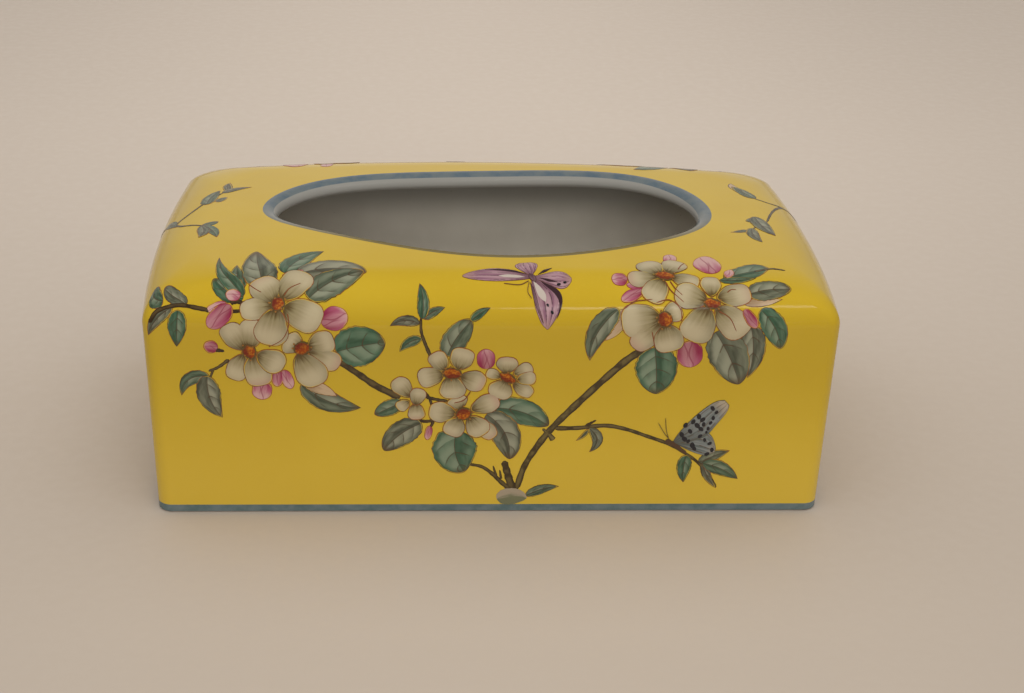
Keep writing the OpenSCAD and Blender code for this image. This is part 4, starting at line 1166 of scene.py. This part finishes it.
def paint_wings(painting, wall, rows):
    """Wings and the strokes on them, each between its two edges."""
    for row in rows:
        painting.wing(wall, *row)


def paint_spots(painting, wall, rows):
    """Oval ink spots."""
    for place, size, turn in rows:
        painting.spot(wall, place, size, size * 0.7, turn, DRAWN_LAYER, DRAWN_TONE)


def paint_blossom(painting, wall, middle):
    """Open blossom seen from the front: five petals evenly round the heart."""
    ways = [direction(turn) for turn in range(90, 450, 72)]
    rows = [(middle + way * END_PETAL_BASE, middle + way * END_PETAL_REACH, END_PETAL_W, BLOSSOM_LAYER)
            for way in ways]
    paint_petals(painting, wall, rows)


def painted(name, finish, *jobs):
    """One painted piece, not yet dressed: each job is a painter, a wall and its rows."""
    painting = Painting()
    for painter, wall, rows in jobs:
        painter(painting, wall, rows)
    return painting.mesh(name, finish)


def paint_insect(name, node, wall, finish, wings, spots, feelers):
    """Butterfly or moth: its wings, then the spots and feelers drawn over them."""
    jobs = (paint_wings, wall, wings), (paint_spots, wall, spots), (paint_feelers, wall, feelers)
    dress(painted(name, finish, *jobs), node)


def coat(name, node, face, bed, finish):
    """Closed coat between the rings of its face and those of its bed, standing for one CAD node."""
    dress(sleeve(name, face + bed[::-1], finish), node)


def make_yellow_coat():
    """Yellow ground, from the foot line up the walls and over the roof to the mouth."""
    face, bed = (outer_rings(LINE_TOP, lift) for lift in (0, -COAT_T))
    coat("yellow_coat", "yellow_ground", face, bed, yellow_glaze())


def make_mouth_line():
    """Blue line on the roll of the lip."""
    blue = blue_line("mouth_blue", (0.088, 0.128, 0.165), (0.140, 0.168, 0.178), (0.195, 0.160, 0.076))
    face, bed = (lip_rings(lift, 0, 1) for lift in (0, -COAT_T))
    coat("mouth_line", "mouth_band", face, bed, blue)


def make_foot_line():
    """Blue line round the foot, over the bare ring."""
    blue = blue_line("foot_blue", (0.082, 0.132, 0.135), (0.135, 0.178, 0.190))
    ups = np.linspace(FOOT_BARE, LINE_TOP, LINE_STEPS + 1)
    face, bed = ([skin_ring(up, lift) for up in ups] for lift in (0, -COAT_T))
    coat("foot_line", "foot_band", face, bed, blue)


def make_white_coat():
    """White lining, from the blue line round the lip and down the inner walls."""
    face, bed = (lip_rings(lift, 1, 2) + under_rings(lift) + inner_rings(LINING_BARE, inner)
                 for lift, inner in ((0, -WALL_T), (-COAT_T, INNER_FACE)))
    coat("white_coat", "white_lining", face, bed, white_glaze())


def make_casting():
    """Porcelain under the coats, closed at the foot by its rounded bare ring."""
    outside = foot_rings(-COAT_T, 1) + outer_rings(FOOT_R, -COAT_T) + lip_rings(-COAT_T, 0, 2)[1:]
    inside = under_rings(-COAT_T) + inner_rings(FOOT_R, INNER_FACE) + foot_rings(INNER_FACE, -1)[::-1]
    coat("casting", "porcelain_body", outside + inside, [], bare_porcelain())


PAINTERS = {
    "twigs": paint_twigs,
    "leaves": paint_leaves,
    "petals": paint_petals,
    "hearts": paint_hearts,
    "buds": paint_buds,
}


def make_sprays(enamels):
    """Three sprays on the front and all of them again on the back, with a piece for each kind of stroke."""
    sprays = {
        "left": (LEFT_TWIGS, LEFT_LEAVES, LEFT_PETALS, LEFT_HEARTS, LEFT_BUDS),
        "middle": (MIDDLE_TWIGS, MIDDLE_LEAVES, MIDDLE_PETALS, MIDDLE_HEARTS, MIDDLE_BUDS),
        "right": (RIGHT_TWIGS, RIGHT_LEAVES, RIGHT_PETALS, RIGHT_HEARTS, RIGHT_BUDS),
    }
    folds = {"left": LEFT_FOLDS, "middle": MIDDLE_FOLDS, "right": RIGHT_FOLDS}
    for spray, tables in sprays.items():
        for (kind, painter), rows in zip(PAINTERS.items(), tables):
            drawn = [(paint_folds, FRONT, folds[spray])] if kind == "petals" else []
            piece = painted(f"{spray}_{kind}", enamels[kind], (painter, FRONT, rows), *drawn)
            dress(piece, f"{spray}_spray_{kind}")
    for (kind, painter), tables in zip(PAINTERS.items(), zip(*sprays.values())):
        piece = painted(f"back_{kind}_painted", enamels[kind], (painter, BACK, sum(tables, [])))
        dress(piece, f"back_{kind}")


def make_insects():
    """Purple butterfly and spotted moth, on the front and on the back."""
    purple = wing_enamel("purple_enamel",
                         (0.036, 0.014, 0.020), (0.230, 0.105, 0.155), (0.420, 0.260, 0.290),
                         (0.120, 0.050, 0.070), (0.400, 0.240, 0.200), (0.130, 0.050, 0.035))
    grey = wing_enamel("grey_enamel",
                       (0.075, 0.038, 0.018), (0.100, 0.120, 0.112), (0.210, 0.225, 0.220),
                       (0.055, 0.062, 0.050), (0.400, 0.330, 0.240), (0.100, 0.085, 0.045))
    butterfly = purple, BUTTERFLY, BUTTERFLY_SPOTS, BUTTERFLY_FEELERS
    moth = grey, MOTH, MOTH_SPOTS, [MOTH_BODY] + MOTH_FEELERS
    paint_insect("butterfly", "purple_butterfly", FRONT, *butterfly)
    paint_insect("back_butterfly_wings", "back_butterfly", BACK, *butterfly)
    paint_insect("moth", "spotted_moth", FRONT, *moth)
    paint_insect("back_moth_wings", "back_moth", BACK, *moth)


def make_ends(enamels):
    """Sprig and stem of each end, and the two blossoms."""
    petals, hearts = Painting(), Painting()
    for side, wall, twigs, leaves, blossom in (
            ("left", LEFT_END, LEFT_END_TWIGS, LEFT_END_LEAVES, LEFT_END_BLOSSOM),
            ("right", RIGHT_END, RIGHT_END_TWIGS, RIGHT_END_LEAVES, RIGHT_END_BLOSSOM)):
        sprig = painted(f"{side}_end_leaves", enamels["leaves"], (paint_leaves, wall, leaves))
        dress(sprig, f"{side}_end_sprig")
        stem = painted(f"{side}_end_stem", enamels["twigs"], (paint_twigs, wall, twigs))
        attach(stem, "root")
        paint_blossom(petals, wall, blossom)
        hearts.spot(wall, blossom, *END_HEART, HEART_LAYER)
    dress(petals.mesh("end_blossoms", enamels["petals"]), "end_petals")
    dress(hearts.mesh("end_blossom_hearts", enamels["hearts"]), "end_hearts")


def make_painting():
    """Sprays, insects and ends, which share five enamels."""
    enamels = {
        "twigs": twig_enamel(),
        "leaves": leaf_enamel(),
        "petals": petal_enamel(),
        "hearts": heart_enamel(),
        "buds": bud_enamel(),
    }
    make_sprays(enamels)
    make_insects()
    make_ends(enamels)


# Floor and room, in metres
FLOOR_R = 3.0
FLOOR_STEPS = 96
# Paper colours at the front and the back, whose difference is painted shade
PAPER_FRONT = (0.530, 0.458, 0.390)
PAPER_BACK = (0.705, 0.618, 0.540)
PAPER_SIDE_SHADE = (0, 0, 0)
ROOM_DIM = (0.200, 0.187, 0.172)
ROOM_PALE = (0.800, 0.730, 0.660)
WARM = (1.0, 0.97, 0.92)

# Lamps: name, place, target, length, width, power, colour, and whether the glaze mirrors it
LAMPS = [
    ("ceiling", (0.0, -0.9, 1.8), (0, -0.9, 0), 5.0, 5.0, 80.0, WARM, False),
    ("front", (0.3, -2.2, 0.50), (0, 0, 0.05), 1.6, 0.6, 15.0, WARM, False),
    ("window", (0.315, -0.72, 1.3), (-0.405, -0.025, 0.09), 0.62, 0.11, 0.50, (1.0, 0.98, 0.95), True),
]

# Camera: distance from its target, angles in degrees, and focal length in the photograph's pixels
CAMERA_TARGET = (0.010679, 0, 0.03643)
CAMERA_DISTANCE = 0.70893
CAMERA_HEIGHT = 25.168
CAMERA_TURN = -3.551
CAMERA_ROLL = 1.682
FOCAL_PIXELS = 1725.43
FRAME_PIXELS = 1024
SENSOR = 36.0


def make_floor():
    """Pale paper with painted shade: a little darker towards the front and the sides."""
    turn = 2 * math.pi * np.arange(FLOOR_STEPS) / FLOOR_STEPS
    ring = np.stack([FLOOR_R / MM * np.cos(turn), FLOOR_R / MM * np.sin(turn), turn * 0], -1)
    paper = Finish("paper", 0.6, 0.3)
    # Painted shade: the paper darkens towards the front and towards both sides
    paper.fill = paper.y.ease(-0.20, 0.42).blend(PAPER_FRONT, PAPER_BACK)
    paper.lay(PAPER_SIDE_SHADE, abs(paper.x).ease(0.0, 0.45), 0.17)
    floor = mesh_object("floor", ring, [list(range(FLOOR_STEPS))], paper.done())


def lamp(name, place, target, length, width, power, colour, mirrored):
    """Rectangular lamp at a place, turned to its target."""
    data = bpy.data.lights.new(name, "AREA")
    data.shape = "RECTANGLE"
    data.size, data.size_y, data.energy, data.color = length, width, power, colour
    made = add_object(name, data)
    made.visible_glossy = mirrored
    way = np.array(target, float) - np.array(place, float)
    way /= np.linalg.norm(way)
    made.location = place
    made.rotation_euler = (math.acos(-way[2]), 0, math.atan2(-way[0], way[1]) if abs(way[2]) < 0.999 else 0)


def make_room():
    """Dim room with a pale wall low behind the cover: straight falls along three axes, multiplied."""
    world = bpy.data.worlds.new("room")
    bpy.context.scene.world = world
    world.use_nodes = True
    tree = world.node_tree
    way = Value(tree, add_node(tree, "ShaderNodeTexCoord").outputs["Generated"])
    x, y, z = way.parts()
    pale = z.span(0.75, 0.35) * y.span(-0.25, 0.65) * abs(x).span(0.70, 0.05)
    feed(tree.nodes["Background"].inputs["Color"], pale.blend(ROOM_DIM, ROOM_PALE))


def make_camera():
    """Camera on a sphere about its target, at a height angle and a turn, then rolled."""
    height, turn, roll = np.radians([CAMERA_HEIGHT, CAMERA_TURN, CAMERA_ROLL])
    level = math.cos(height)
    back = np.array([math.sin(turn) * level, -math.cos(turn) * level, math.sin(height)])
    right = np.cross(-back, [0, 0, 1])
    right /= np.linalg.norm(right)
    up = np.cross(right, -back)
    matrix = np.eye(4)
    matrix[:3, 0] = math.cos(roll) * right + math.sin(roll) * up
    matrix[:3, 1] = -math.sin(roll) * right + math.cos(roll) * up
    matrix[:3, 2] = back
    matrix[:3, 3] = CAMERA_TARGET + back * CAMERA_DISTANCE
    data = bpy.data.cameras.new("camera")
    data.sensor_width = SENSOR
    data.lens = FOCAL_PIXELS * SENSOR / FRAME_PIXELS
    camera = add_object("camera", data)
    camera.matrix_world = Matrix(matrix.tolist())
    bpy.context.scene.camera = camera


make_yellow_coat()
make_mouth_line()
make_foot_line()
make_white_coat()
make_casting()
make_painting()
make_floor()
for row in LAMPS:
    lamp(*row)
make_room()
make_camera()
bpy.context.scene.view_settings.view_transform = "Standard"
